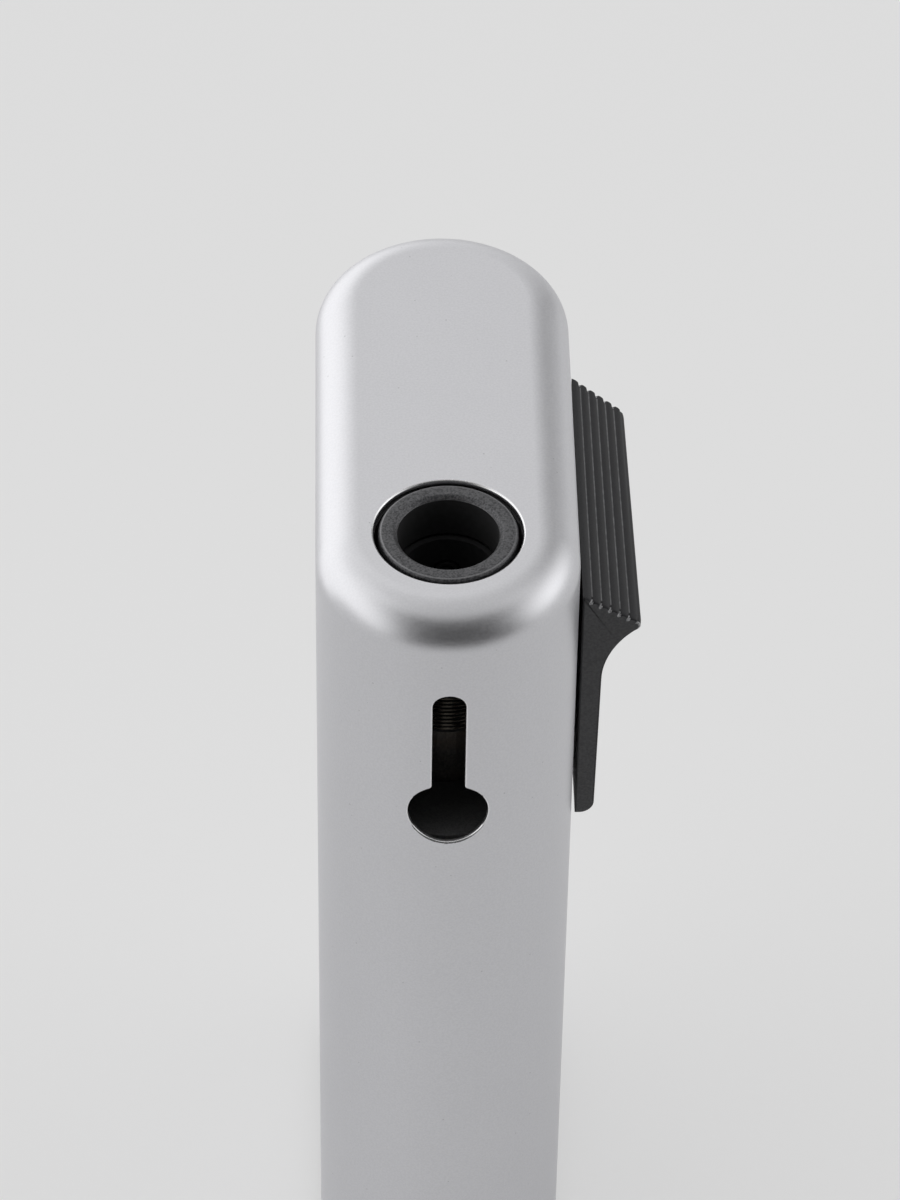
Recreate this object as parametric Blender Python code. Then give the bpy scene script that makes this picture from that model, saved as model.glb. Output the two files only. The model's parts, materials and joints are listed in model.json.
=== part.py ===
"""Pocket butane torch, modelled as the separate pieces that it is assembled from.

Frame: metres, +Z up. The origin is the centre of the base's flat underside. The nozzle and the keyhole
are at the -Y end, and the thumb trigger is on the +X flank.
"""
import math

import bmesh
import bpy
from mathutils import Matrix, Vector

MM = 0.001

# Fits
FIT_GAP = 0.3 * MM
SLIDE_ROOM = 0.9 * MM

# Case: a drawn sleeve with a closed top and full-round ends
BODY_WIDTH = 17.0 * MM
BODY_LENGTH = 39.4 * MM
BODY_HEIGHT = 76.0 * MM
CASE_WALL = 0.4 * MM
TOP_FILLET = 2.8 * MM

# Keyhole in the front end, measured down from the top of the case
KEYHOLE_DROP = 17.1 * MM
KEYHOLE_RADIUS = 2.58 * MM
KEYHOLE_SLOT_WIDTH = 2.11 * MM
KEYHOLE_TOP_DROP = 6.4 * MM

# Trigger: a ribbed slope, a rounded lip and a long plate, with a tongue through the case
TRIGGER_LENGTH = 21.0 * MM
TRIGGER_DROP = 6.6 * MM
TRIGGER_HEIGHT = 20.0 * MM
TRIGGER_TRAVEL = 4.2 * MM
LIP_REACH = 4.16 * MM
LIP_DROP = 2.5 * MM
LIP_ROUND = 0.35 * MM
UNDERCUT_ANGLE = math.radians(52)
PLATE_REACH = 1.72 * MM
PLATE_TAPER = 0.15 * MM
PLATE_CORNER = 1.0 * MM
RIB_COUNT = 6
RIB_HEIGHT = 0.12 * MM
TONGUE_DROP = 4.7 * MM
TONGUE_HEIGHT = 4.4 * MM
TONGUE_WIDTH = 4.0 * MM
TONGUE_GRIP = 4.0 * MM

# Burner
NOZZLE_RADIUS = 4.5 * MM
NOZZLE_BORE_RADIUS = 3.35 * MM
NOZZLE_CHAMFER = 0.25 * MM
NOZZLE_RECESS = 0.25 * MM
NOZZLE_DEPTH = 4.8 * MM
NOZZLE_THREAD_DEPTH = 1.85 * MM
BURNER_RADIUS = 3.6 * MM
BURNER_WALL = 0.6 * MM
BURNER_LENGTH = 11.2 * MM
MIXING_RADIUS = 2.4 * MM
MIXING_WALL = 0.7 * MM
MIXING_ENTRY = 5.3 * MM
AIR_HOLE_RADIUS = 0.8 * MM
AIR_HOLE_RISE = 1.9 * MM
FLAME_DISC_HEIGHT = 1.0 * MM
FLAME_HOLE_RADIUS = 0.35 * MM
FLAME_HOLE_COUNT = 6
FLAME_HOLE_CIRCLE = 1.45 * MM
LEDGE_DROP = 0.4 * MM
SOCKET_DEPTH = 1.6 * MM
JET_HEIGHT = 3.5 * MM
JET_ORIFICE_RADIUS = 0.3 * MM

# Gas hose between the outlet valve and the jet
HOSE_RADIUS = 1.7 * MM
HOSE_BORE_RADIUS = 1.0 * MM

# Spark electrode through the back of the burner head, and its lead
ELECTRODE_DROP = 6.4 * MM
ELECTRODE_RADIUS = 0.3 * MM
ELECTRODE_REACH = 1.2 * MM
INSULATOR_RADIUS = 0.8 * MM
WIRE_RADIUS = 0.45 * MM
WIRE_RISE = 2.6 * MM

# Chassis: the moulded frame between the tank and the top of the case
MECHANISM_HEIGHT = 34.7 * MM
CHASSIS_ROOF = 3.2 * MM
CHASSIS_WALL = 1.5 * MM
SHELF_RISE = 5.5 * MM
SHELF_THICKNESS = 1.5 * MM
POCKET_WIDTH = 9.2 * MM

# Trigger carriage and its spring
CARRIAGE_WALL = 3.0 * MM
CARRIAGE_SETBACK = 1.2 * MM
CARRIAGE_ARM = 1.7 * MM
SPRING_RADIUS = 1.9 * MM
SPRING_WIRE = 0.5 * MM
SPRING_TURNS = 7
SPRING_POCKET = 3.0 * MM

# Piezo igniter
PIEZO_WIDTH = 7.0 * MM
PIEZO_LENGTH = 6.0 * MM
PIEZO_SETBACK = 0.8 * MM
PIEZO_SINK = 0.7 * MM
PIEZO_HEADROOM = 1.8 * MM
PIEZO_FOOT_RADIUS = 1.2 * MM
PIEZO_FOOT_HEIGHT = 1.0 * MM
PLUNGER_WIDTH = 3.6 * MM
PLUNGER_GRIP = 2.5 * MM

# Gas lever
LEVER_THICKNESS = 0.8 * MM
LEVER_WIDTH = 5.6 * MM
LEVER_TAIL_WIDTH = 3.0 * MM
LEVER_FRONT_ARM = 9.7 * MM
LEVER_EAR = 0.8 * MM
LEVER_PIN_RADIUS = 0.6 * MM
LEVER_PIN_RISE = 1.5 * MM
LEVER_PIN_SEAT = 1.8 * MM
FORK_LENGTH = 2.0 * MM

# Outlet valve
VALVE_RADIUS = 2.6 * MM
VALVE_BORE_RADIUS = 1.9 * MM
VALVE_FLANGE_RADIUS = 3.6 * MM
VALVE_FLANGE = 0.7 * MM
VALVE_DEPTH = 10.3 * MM
VALVE_NECK = 1.4 * MM
VALVE_SOCKET = 2.4 * MM
VALVE_LIFT = 0.54 * MM
STEM_RADIUS = 0.7 * MM
STEM_BORE_RADIUS = 0.3 * MM
STEM_COLLAR_RADIUS = 1.4 * MM
STEM_COLLAR = 0.8 * MM
STEM_FLANGE_RADIUS = 1.6 * MM
STEM_FLANGE = 0.6 * MM
SEAL_HEIGHT = 0.8 * MM
VALVE_SPRING_RADIUS = 1.25 * MM
VALVE_SPRING_WIRE = 0.3 * MM
VALVE_SPRING_TURNS = 4

# Tank
TANK_WALL = 1.2 * MM
TANK_FLOOR = 2.0 * MM
GASKET_HEIGHT = 0.8 * MM
LID_FLANGE = 1.6 * MM
LID_PLUG = 3.0 * MM
BOSS_RADIUS = 2.2 * MM
BOSS_HEIGHT = 4.0 * MM
RISER_RADIUS = 1.6 * MM
RISER_BORE_RADIUS = 0.8 * MM

# Base
BASE_INSET = 0.2 * MM
BASE_FLANGE = 1.2 * MM
BASE_CHAMFER = 0.4 * MM
BASE_PLUG = 3.6 * MM
BASE_RECESS = 0.3 * MM
SCREW_SETBACK = 7.0 * MM
SCREW_HEAD_RADIUS = 1.6 * MM
SCREW_HEAD = 1.0 * MM
SCREW_RADIUS = 0.8 * MM
SCREW_LENGTH = 8.0 * MM
DRIVE_WIDTH = 0.45 * MM
DRIVE_DEPTH = 0.5 * MM

# Refill valve
FILL_RADIUS = 2.3 * MM
FILL_FLANGE_RADIUS = 2.9 * MM
FILL_FLANGE = 1.0 * MM
FILL_LENGTH = 12.5 * MM
FILL_LIP = 1.5 * MM
FILL_BORE_RADIUS = 1.5 * MM
FILL_STEM_RADIUS = 0.8 * MM
FILL_STEM_NOSE = 5.0 * MM
FILL_COLLAR_RADIUS = 1.2 * MM
FILL_COLLAR = 1.0 * MM
FILL_OUTLET_RADIUS = 0.5 * MM
FILL_SPRING_RADIUS = 0.85 * MM
FILL_SPRING_WIRE = 0.3 * MM
FILL_SPRING_TURNS = 4

# Flame adjuster
DIAL_RADIUS = 3.3 * MM
DIAL_HEIGHT = 1.3 * MM
DIAL_NOTCH_RADIUS = 0.45 * MM
DIAL_NOTCH_COUNT = 12
ADJUSTER_RADIUS = 1.0 * MM
ADJUSTER_TIP = 2.0 * MM
CUP_RADIUS = 3.0 * MM
CUP_HEIGHT = 5.6 * MM
RESTRICTOR_HEIGHT = 0.8 * MM
SEAL_WIRE = 0.8 * MM

# Facets
END_SEGMENTS = 24
INNER_END_SEGMENTS = 14
FILLET_STEPS = 5
TURN_SEGMENTS = 24
SMALL_SEGMENTS = 14
SEAL_SEGMENTS = 8
ARC_STEPS = 6
RIB_STEPS = 4
ROUTE_STEPS = 4
COIL_POINTS = 8
SMOOTH_ANGLE = math.radians(35)
OVERCUT = 1.0 * MM
MERGE = 0.001 * MM

# Levels and places worked out from the sizes above
HALF_WIDTH = BODY_WIDTH / 2
REAR_Y = (BODY_LENGTH - BODY_WIDTH) / 2
FRONT_Y = -REAR_Y
CASE_INNER = HALF_WIDTH - CASE_WALL
INNER_FIT = CASE_INNER - FIT_GAP
CEILING_Z = BODY_HEIGHT - CASE_WALL
CHASSIS_TOP_Z = CEILING_Z - FIT_GAP
POCKET_TOP_Z = CHASSIS_TOP_Z - CHASSIS_ROOF

PLUG_TOP_Z = BASE_FLANGE + BASE_PLUG
TANK_BOTTOM_Z = PLUG_TOP_Z + FIT_GAP
TANK_FLOOR_Z = TANK_BOTTOM_Z + TANK_FLOOR
LID_TOP_Z = BODY_HEIGHT - MECHANISM_HEIGHT
LID_FLANGE_Z = LID_TOP_Z - LID_FLANGE
GASKET_Z = LID_FLANGE_Z - FIT_GAP - GASKET_HEIGHT
TANK_TOP_Z = GASKET_Z - FIT_GAP
TANK_INNER = INNER_FIT - TANK_WALL

VALVE_FLANGE_Z = LID_TOP_Z + FIT_GAP
VALVE_TOP_Z = VALVE_FLANGE_Z + VALVE_FLANGE
VALVE_BOTTOM_Z = VALVE_FLANGE_Z - VALVE_DEPTH
RISER_TOP_Z = VALVE_BOTTOM_Z + VALVE_SOCKET
SEAL_Z = RISER_TOP_Z + FIT_GAP
COLLAR_Z = SEAL_Z + SEAL_HEIGHT + FIT_GAP
NECK_Z = VALVE_TOP_Z - FIT_GAP - SEAL_WIRE - VALVE_NECK
STEM_HOLE = STEM_RADIUS + FIT_GAP
O_RING_Z = VALVE_TOP_Z - SEAL_WIRE / 2

CHASSIS_Z = LID_TOP_Z + FIT_GAP
SHELF_Z = LID_TOP_Z + SHELF_RISE
SHELF_TOP_Z = SHELF_Z + SHELF_THICKNESS
LEVER_Z = VALVE_TOP_Z + SLIDE_ROOM
LEVER_TOP_Z = LEVER_Z + LEVER_THICKNESS
LEVER_PIN_Y = FRONT_Y + LEVER_FRONT_ARM
LEVER_PIN_Z = LEVER_TOP_Z + LEVER_PIN_RISE
STEM_FLANGE_Z = LEVER_TOP_Z + FIT_GAP
HOSE_Z = STEM_FLANGE_Z + STEM_FLANGE + SLIDE_ROOM

KEYHOLE_Z = BODY_HEIGHT - KEYHOLE_DROP
LEDGE_Z = KEYHOLE_Z - KEYHOLE_RADIUS - LEDGE_DROP
JET_TOP_Z = LEDGE_Z - SOCKET_DEPTH
JET_Z = JET_TOP_Z - JET_HEIGHT
HOSE_TOP_Z = JET_Z - FIT_GAP
HOSE_MIDDLE_Z = (HOSE_Z + HOSE_TOP_Z) / 2
BURNER_BORE = NOZZLE_RADIUS + FIT_GAP
SOCKET_RADIUS = MIXING_RADIUS + FIT_GAP
NOZZLE_TOP_Z = BODY_HEIGHT - NOZZLE_RECESS
NOZZLE_Z = NOZZLE_TOP_Z - NOZZLE_DEPTH
BURNER_TOP_Z = NOZZLE_Z + NOZZLE_THREAD_DEPTH - FIT_GAP
BURNER_Z = BURNER_TOP_Z - BURNER_LENGTH
MIXING_Z = JET_TOP_Z + FIT_GAP
MIXING_TOP_Z = BURNER_Z + MIXING_ENTRY
CHAMBER_RADIUS = BURNER_RADIUS - BURNER_WALL
ELECTRODE_Z = BODY_HEIGHT - ELECTRODE_DROP

TRIGGER_TOP_Z = BODY_HEIGHT - TRIGGER_DROP
TRIGGER_INNER_X = HALF_WIDTH + FIT_GAP
TONGUE_TOP_Z = TRIGGER_TOP_Z - TONGUE_DROP
TONGUE_Z = TONGUE_TOP_Z - TONGUE_HEIGHT
CARRIAGE_TOP_Z = TONGUE_TOP_Z + FIT_GAP + CARRIAGE_WALL
CARRIAGE_Z = TONGUE_Z - FIT_GAP - CARRIAGE_WALL
CARRIAGE_X = INNER_FIT - CARRIAGE_SETBACK
TONGUE_X = CARRIAGE_X - TONGUE_GRIP
POCKET_FRONT_Y = FRONT_Y + BURNER_BORE + CHASSIS_WALL
PIEZO_Y = REAR_Y - PIEZO_SETBACK
PIEZO_POCKET_Y = PIEZO_Y - PIEZO_LENGTH / 2 - FIT_GAP
PIEZO_BACK_Y = PIEZO_Y + PIEZO_LENGTH / 2
PIEZO_POCKET_BACK_Y = PIEZO_BACK_Y + FIT_GAP + 4 * WIRE_RADIUS
MIDDLE_BACK_Y = PIEZO_POCKET_Y - SLIDE_ROOM
CARRIAGE_FRONT_Y = POCKET_FRONT_Y + FIT_GAP
CARRIAGE_BACK_Y = MIDDLE_BACK_Y - FIT_GAP
SPRING_Y = (CARRIAGE_FRONT_Y + CARRIAGE_BACK_Y) / 2
ARM_Z = CARRIAGE_TOP_Z - CARRIAGE_ARM
PLUNGER_TOP_Z = ARM_Z - FIT_GAP
PIEZO_TOP_Z = PLUNGER_TOP_Z - TRIGGER_TRAVEL - PIEZO_HEADROOM
PIEZO_FOOT_Z = LEVER_TOP_Z + FIT_GAP
PIEZO_Z = PIEZO_FOOT_Z + PIEZO_FOOT_HEIGHT
PLUNGER_Z = PIEZO_TOP_Z - PLUNGER_GRIP
PLUNGER_BORE_Z = PLUNGER_Z - (TRIGGER_TRAVEL - PIEZO_SINK) - FIT_GAP

SCREW_Y = REAR_Y - SCREW_SETBACK
SCREW_TIP_Z = BASE_RECESS + SCREW_LENGTH
DIAL_TOP_Z = BASE_RECESS + DIAL_HEIGHT
CUP_Z = TANK_FLOOR_Z + FIT_GAP
ADJUSTER_TOP_Z = CUP_Z + ADJUSTER_TIP
RESTRICTOR_Z = ADJUSTER_TOP_Z + FIT_GAP
RISER_Z = RESTRICTOR_Z + RESTRICTOR_HEIGHT + FIT_GAP
FILL_TOP_Z = BASE_RECESS + FILL_LENGTH
FILL_NECK_Z = FILL_TOP_Z - FILL_LIP
FILL_NOSE_Z = 2 * BASE_RECESS
FILL_COLLAR_Z = FILL_NOSE_Z + FILL_STEM_NOSE


def finish(name, colour, roughness, metallic=0.0):
    """A Principled material with one colour."""
    material = bpy.data.materials.new(name)
    material.use_nodes = True
    shader = material.node_tree.nodes["Principled BSDF"]
    shader.inputs["Base Color"].default_value = (*colour, 1.0)
    shader.inputs["Roughness"].default_value = roughness
    shader.inputs["Metallic"].default_value = metallic
    material.diffuse_color = (*colour, 1.0)
    return material


def piece(name, shape, material, origin=(0.0, 0.0, 0.0)):
    """Link a shape to the scene as one named object whose origin is the given point."""
    bmesh.ops.recalc_face_normals(shape, faces=shape.faces)
    mesh = bpy.data.meshes.new(name)
    shape.to_mesh(mesh)
    shape.free()
    mesh.transform(Matrix.Translation(-Vector(origin)))
    mesh.shade_smooth()
    mesh.set_sharp_from_angle(angle=SMOOTH_ANGLE)
    if material:
        mesh.materials.append(material)
    item = bpy.data.objects.new(name, mesh)
    item.location = origin
    bpy.context.scene.collection.objects.link(item)
    return item


def combine(target, name, shape, operation="DIFFERENCE"):
    """Cut a shape from an object, or join it on with UNION, as a live Boolean."""
    tool = piece(f"{target.name}_{name}", shape, None)
    tool.hide_render = True
    tool.display_type = "WIRE"
    modifier = target.modifiers.new(name, "BOOLEAN")
    modifier.operation = operation
    modifier.solver = "EXACT"
    modifier.object = tool


def loft(rings, segments):
    """A body through round-ended outlines, given as (end radius, z), closed at the first and the last."""
    shape = bmesh.new()
    loops = []
    for radius, z in rings:
        loop = []
        for centre_y, start in ((FRONT_Y, math.pi), (REAR_Y, 0.0)):
            for step in range(segments + 1):
                angle = start + math.pi * step / segments
                x = radius * math.cos(angle)
                y = centre_y + radius * math.sin(angle)
                loop.append(shape.verts.new((x, y, z)))
        loops.append(loop)
    for lower, upper in zip(loops, loops[1:]):
        for index in range(len(lower)):
            shape.faces.new((lower[index - 1], lower[index], upper[index], upper[index - 1]))
    shape.faces.new(loops[0])
    shape.faces.new(loops[-1])
    return shape


def fillet_rings(radius, top, fillet):
    """Outlines that follow a wall up and round its top edge."""
    rings = []
    for step in range(FILLET_STEPS + 1):
        angle = math.pi / 2 * step / FILLET_STEPS
        rings.append((radius - fillet + fillet * math.cos(angle), top - fillet + fillet * math.sin(angle)))
    return rings


def turned(profile, segments=SMALL_SEGMENTS, centre_y=0.0):
    """A body turned about a vertical axis from (radius, z) points; off the axis the profile is closed."""
    shape = bmesh.new()
    points = [shape.verts.new((radius, 0.0, z)) for radius, z in profile]
    edges = [shape.edges.new(pair) for pair in zip(points, points[1:])]
    if profile[0][0] > 0:
        edges.append(shape.edges.new((points[-1], points[0])))
    bmesh.ops.spin(
        shape, geom=points + edges, cent=(0, 0, 0), axis=(0, 0, 1),
        angle=2 * math.pi, steps=segments, use_merge=True,
    )
    bmesh.ops.remove_doubles(shape, verts=shape.verts, dist=MERGE)
    bmesh.ops.translate(shape, verts=shape.verts, vec=(0, centre_y, 0))
    return shape


def rod(radius, low, high, centre_y=0.0, segments=SMALL_SEGMENTS):
    """An upright cylinder."""
    return turned([(0, low), (radius, low), (radius, high), (0, high)], segments, centre_y)


def stepped(first, second, low, step, high, centre_y):
    """An upright cutter with one radius up to a step and another above it."""
    profile = [(0, low), (first, low), (first, step), (second, step), (second, high), (0, high)]
    return turned(profile, TURN_SEGMENTS, centre_y)


def tube(outer, inner, low, high, centre_y=0.0, segments=SMALL_SEGMENTS):
    """An upright pipe."""
    return turned([(inner, low), (outer, low), (outer, high), (inner, high)], segments, centre_y)


def seal(inner, middle_z, centre_y):
    """A rubber ring of round section about a stem."""
    half = SEAL_WIRE / 2
    profile = []
    for step in range(SEAL_SEGMENTS):
        angle = 2 * math.pi * step / SEAL_SEGMENTS
        profile.append((inner + half + half * math.cos(angle), middle_z + half * math.sin(angle)))
    return turned(profile, SMALL_SEGMENTS, centre_y)


def laid(shape, axis, centre):
    """Turn an upright shape so that it runs along X or Y through a centre."""
    turn = Matrix.Rotation(math.pi / 2, 4, "Y" if axis == "X" else "X")
    shape.transform(Matrix.Translation(centre) @ turn)
    return shape


def block(low, high):
    """A box between two corners."""
    shape = bmesh.new()
    size = Vector(high) - Vector(low)
    middle = (Vector(high) + Vector(low)) / 2
    bmesh.ops.create_cube(shape, size=1.0, matrix=Matrix.Translation(middle) @ Matrix.Diagonal((*size, 1.0)))
    return shape


def prism(outline, axis, low, high):
    """Extrude an outline along an axis: (x, z) points along Y, or (x, y) points along Z."""
    shape = bmesh.new()
    if axis == "Y":
        points = [shape.verts.new((u, low, v)) for u, v in outline]
        travel = (0, high - low, 0)
    else:
        points = [shape.verts.new((u, v, low)) for u, v in outline]
        travel = (0, 0, high - low)
    start = shape.faces.new(points)
    grown = bmesh.ops.extrude_face_region(shape, geom=[start], use_keep_orig=True)
    moved = [item for item in grown["geom"] if isinstance(item, bmesh.types.BMVert)]
    bmesh.ops.translate(shape, verts=moved, vec=travel)
    return shape


def arc(centre, radius, start, end, steps=ARC_STEPS):
    """Points of a circular arc from one angle to another."""
    angles = [start + (end - start) * step / steps for step in range(steps + 1)]
    return [(centre[0] + radius * math.cos(a), centre[1] + radius * math.sin(a)) for a in angles]


def swept(name, points, radius, resolution, material, origin):
    """A round wire along points given from the origin."""
    curve = bpy.data.curves.new(name, "CURVE")
    curve.dimensions = "3D"
    curve.bevel_depth = radius
    curve.bevel_resolution = resolution
    curve.use_fill_caps = True
    spline = curve.splines.new("POLY")
    spline.points.add(len(points) - 1)
    for target, point in zip(spline.points, points):
        target.co = (*point, 1.0)
    curve.materials.append(material)
    item = bpy.data.objects.new(name, curve)
    item.location = origin
    bpy.context.scene.collection.objects.link(item)
    return item


def coil(name, radius, wire, low, high, turns, material, origin):
    """A compression spring of one unbroken wire, whose least gap to itself is printed."""
    start = low + wire / 2
    rise = high - low - wire
    count = turns * COIL_POINTS
    points = []
    for step in range(count + 1):
        angle = 2 * math.pi * step / COIL_POINTS
        z = start + rise * step / count
        points.append(Vector((radius * math.cos(angle), radius * math.sin(angle), z)))
    gaps = []
    for index, point in enumerate(points):
        gaps.extend((point - other).length for other in points[index + COIL_POINTS // 2:])
    print(f"{name}: least gap between turns {(min(gaps) - wire) / MM:.2f} mm")
    return swept(name, points, wire / 2, 1, material, origin)


def smooth_route(stations, steps):
    """Points on a smooth curve through the stations of a wire's route."""
    padded = [stations[0], *stations, stations[-1]]
    points = []
    for index in range(1, len(padded) - 2):
        before, start, end, after = (Vector(padded[index + offset]) for offset in (-1, 0, 1, 2))
        for step in range(steps):
            t = step / steps
            bend = 2 * before - 5 * start + 4 * end - after
            twist = 3 * start - before - 3 * end + after
            points.append(start + 0.5 * ((end - before) * t + bend * t ** 2 + twist * t ** 3))
    points.append(Vector(stations[-1]))
    return points


def keyhole_outline(margin):
    """The keyhole's outline, as (x, z), grown by a margin."""
    radius = KEYHOLE_RADIUS + margin
    half = KEYHOLE_SLOT_WIDTH / 2 + margin
    meet = math.asin(half / radius)
    top = (0.0, BODY_HEIGHT - KEYHOLE_TOP_DROP - KEYHOLE_SLOT_WIDTH / 2)
    circle = arc((0.0, KEYHOLE_Z), radius, math.pi / 2 - meet, meet - 3 * math.pi / 2, 4 * ARC_STEPS)
    return circle + arc(top, half, math.pi, 0.0, 2 * ARC_STEPS)


def trigger_slot(margin_x):
    """The case's window for the trigger's tongue, long enough for the trigger's travel."""
    half = TONGUE_WIDTH / 2 + FIT_GAP
    low = (CASE_INNER - margin_x, -half, TONGUE_Z - TRIGGER_TRAVEL - FIT_GAP)
    return block(low, (HALF_WIDTH + OVERCUT, half, TONGUE_TOP_Z + FIT_GAP))


def build_case(aluminium):
    """The drawn sleeve: nozzle hole in the top, keyhole in the front, tongue slot in the flank."""
    bottom = BASE_FLANGE + FIT_GAP
    inside = fillet_rings(CASE_INNER, CEILING_Z, TOP_FILLET - CASE_WALL)
    outside = fillet_rings(HALF_WIDTH, BODY_HEIGHT, TOP_FILLET)
    rings = [*reversed(inside), (CASE_INNER, bottom), (HALF_WIDTH, bottom), *outside]
    case = piece("case", loft(rings, END_SEGMENTS), aluminium)
    hole = rod(BURNER_BORE, CEILING_Z - OVERCUT, BODY_HEIGHT + OVERCUT, FRONT_Y, 2 * TURN_SEGMENTS)
    combine(case, "nozzle_hole", hole)
    front = FRONT_Y - HALF_WIDTH
    combine(case, "keyhole", prism(keyhole_outline(0.0), "Y", front - OVERCUT, front + CASE_INNER / 2))
    combine(case, "tongue_slot", trigger_slot(OVERCUT))


def trigger_outline():
    """The trigger's side profile, as (x, z), from its inner top over the ribs and the lip to its foot."""
    inner_top = Vector((TRIGGER_INNER_X, TRIGGER_TOP_Z))
    lip = Vector((HALF_WIDTH + LIP_REACH - LIP_ROUND, TRIGGER_TOP_Z - LIP_DROP))
    across = lip - inner_top
    slope = math.atan2(across.y, across.x) + math.asin(LIP_ROUND / across.length)
    normal = Vector((-math.sin(slope), math.cos(slope)))
    ramp_end = lip + normal * LIP_ROUND
    ramp = []
    for step in range(RIB_COUNT * RIB_STEPS):
        crest = RIB_HEIGHT * abs(math.sin(math.pi * step / RIB_STEPS))
        ramp.append(tuple(inner_top.lerp(ramp_end, step / (RIB_COUNT * RIB_STEPS)) + normal * crest))
    lip_arc = arc(lip, LIP_ROUND, slope + math.pi / 2, -UNDERCUT_ANGLE)
    plate_x = HALF_WIDTH + PLATE_REACH
    under_x, under_z = lip_arc[-1]
    under_radius = (under_x - plate_x) / (1 - math.cos(UNDERCUT_ANGLE))
    under_centre = (plate_x + under_radius, under_z - under_radius * math.sin(UNDERCUT_ANGLE))
    undercut = arc(under_centre, under_radius, math.pi - UNDERCUT_ANGLE, math.pi)
    foot_z = TRIGGER_TOP_Z - TRIGGER_HEIGHT
    corner = (plate_x - PLATE_TAPER - PLATE_CORNER, foot_z + PLATE_CORNER)
    foot = arc(corner, PLATE_CORNER, 0.0, -math.pi / 2)
    return [*ramp, *lip_arc, *undercut[1:], *foot, (TRIGGER_INNER_X, foot_z)]


def build_trigger(black, acetal, steel):
    """The thumb piece, the carriage that it plugs into, and the carriage's return spring."""
    half = TRIGGER_LENGTH / 2
    trigger = piece("trigger", prism(trigger_outline(), "Y", -half, half), black)
    tongue = TONGUE_WIDTH / 2
    root_x = TRIGGER_INNER_X + PLATE_REACH / 2
    combine(trigger, "tongue", block((TONGUE_X, -tongue, TONGUE_Z), (root_x, tongue, TONGUE_TOP_Z)), "UNION")

    back_x = FIT_GAP - POCKET_WIDTH / 2
    low = (back_x, CARRIAGE_FRONT_Y, CARRIAGE_Z)
    slide = piece("trigger_slide", block(low, (CARRIAGE_X, CARRIAGE_BACK_Y, CARRIAGE_TOP_Z)), acetal)
    arm = PIEZO_WIDTH / 2 - SLIDE_ROOM
    arm_low = (-arm, SPRING_Y, ARM_Z)
    arm_high = (arm, PIEZO_Y + PLUNGER_WIDTH / 2, CARRIAGE_TOP_Z - FIT_GAP)
    combine(slide, "arm", block(arm_low, arm_high), "UNION")
    fit = tongue + FIT_GAP
    socket_low = (TONGUE_X - FIT_GAP, -fit, TONGUE_Z - FIT_GAP)
    combine(slide, "socket", block(socket_low, (CARRIAGE_X + OVERCUT, fit, TONGUE_TOP_Z + FIT_GAP)))
    seat = SPRING_RADIUS + SPRING_WIRE / 2 + FIT_GAP
    combine(slide, "spring_seat", rod(seat, CARRIAGE_Z - OVERCUT, CARRIAGE_Z + SPRING_POCKET, SPRING_Y))
    top = CARRIAGE_Z + SPRING_POCKET - FIT_GAP
    place = (0.0, SPRING_Y, 0.0)
    coil("return_spring", SPRING_RADIUS, SPRING_WIRE, SHELF_TOP_Z + FIT_GAP, top, SPRING_TURNS, steel, place)


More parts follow.
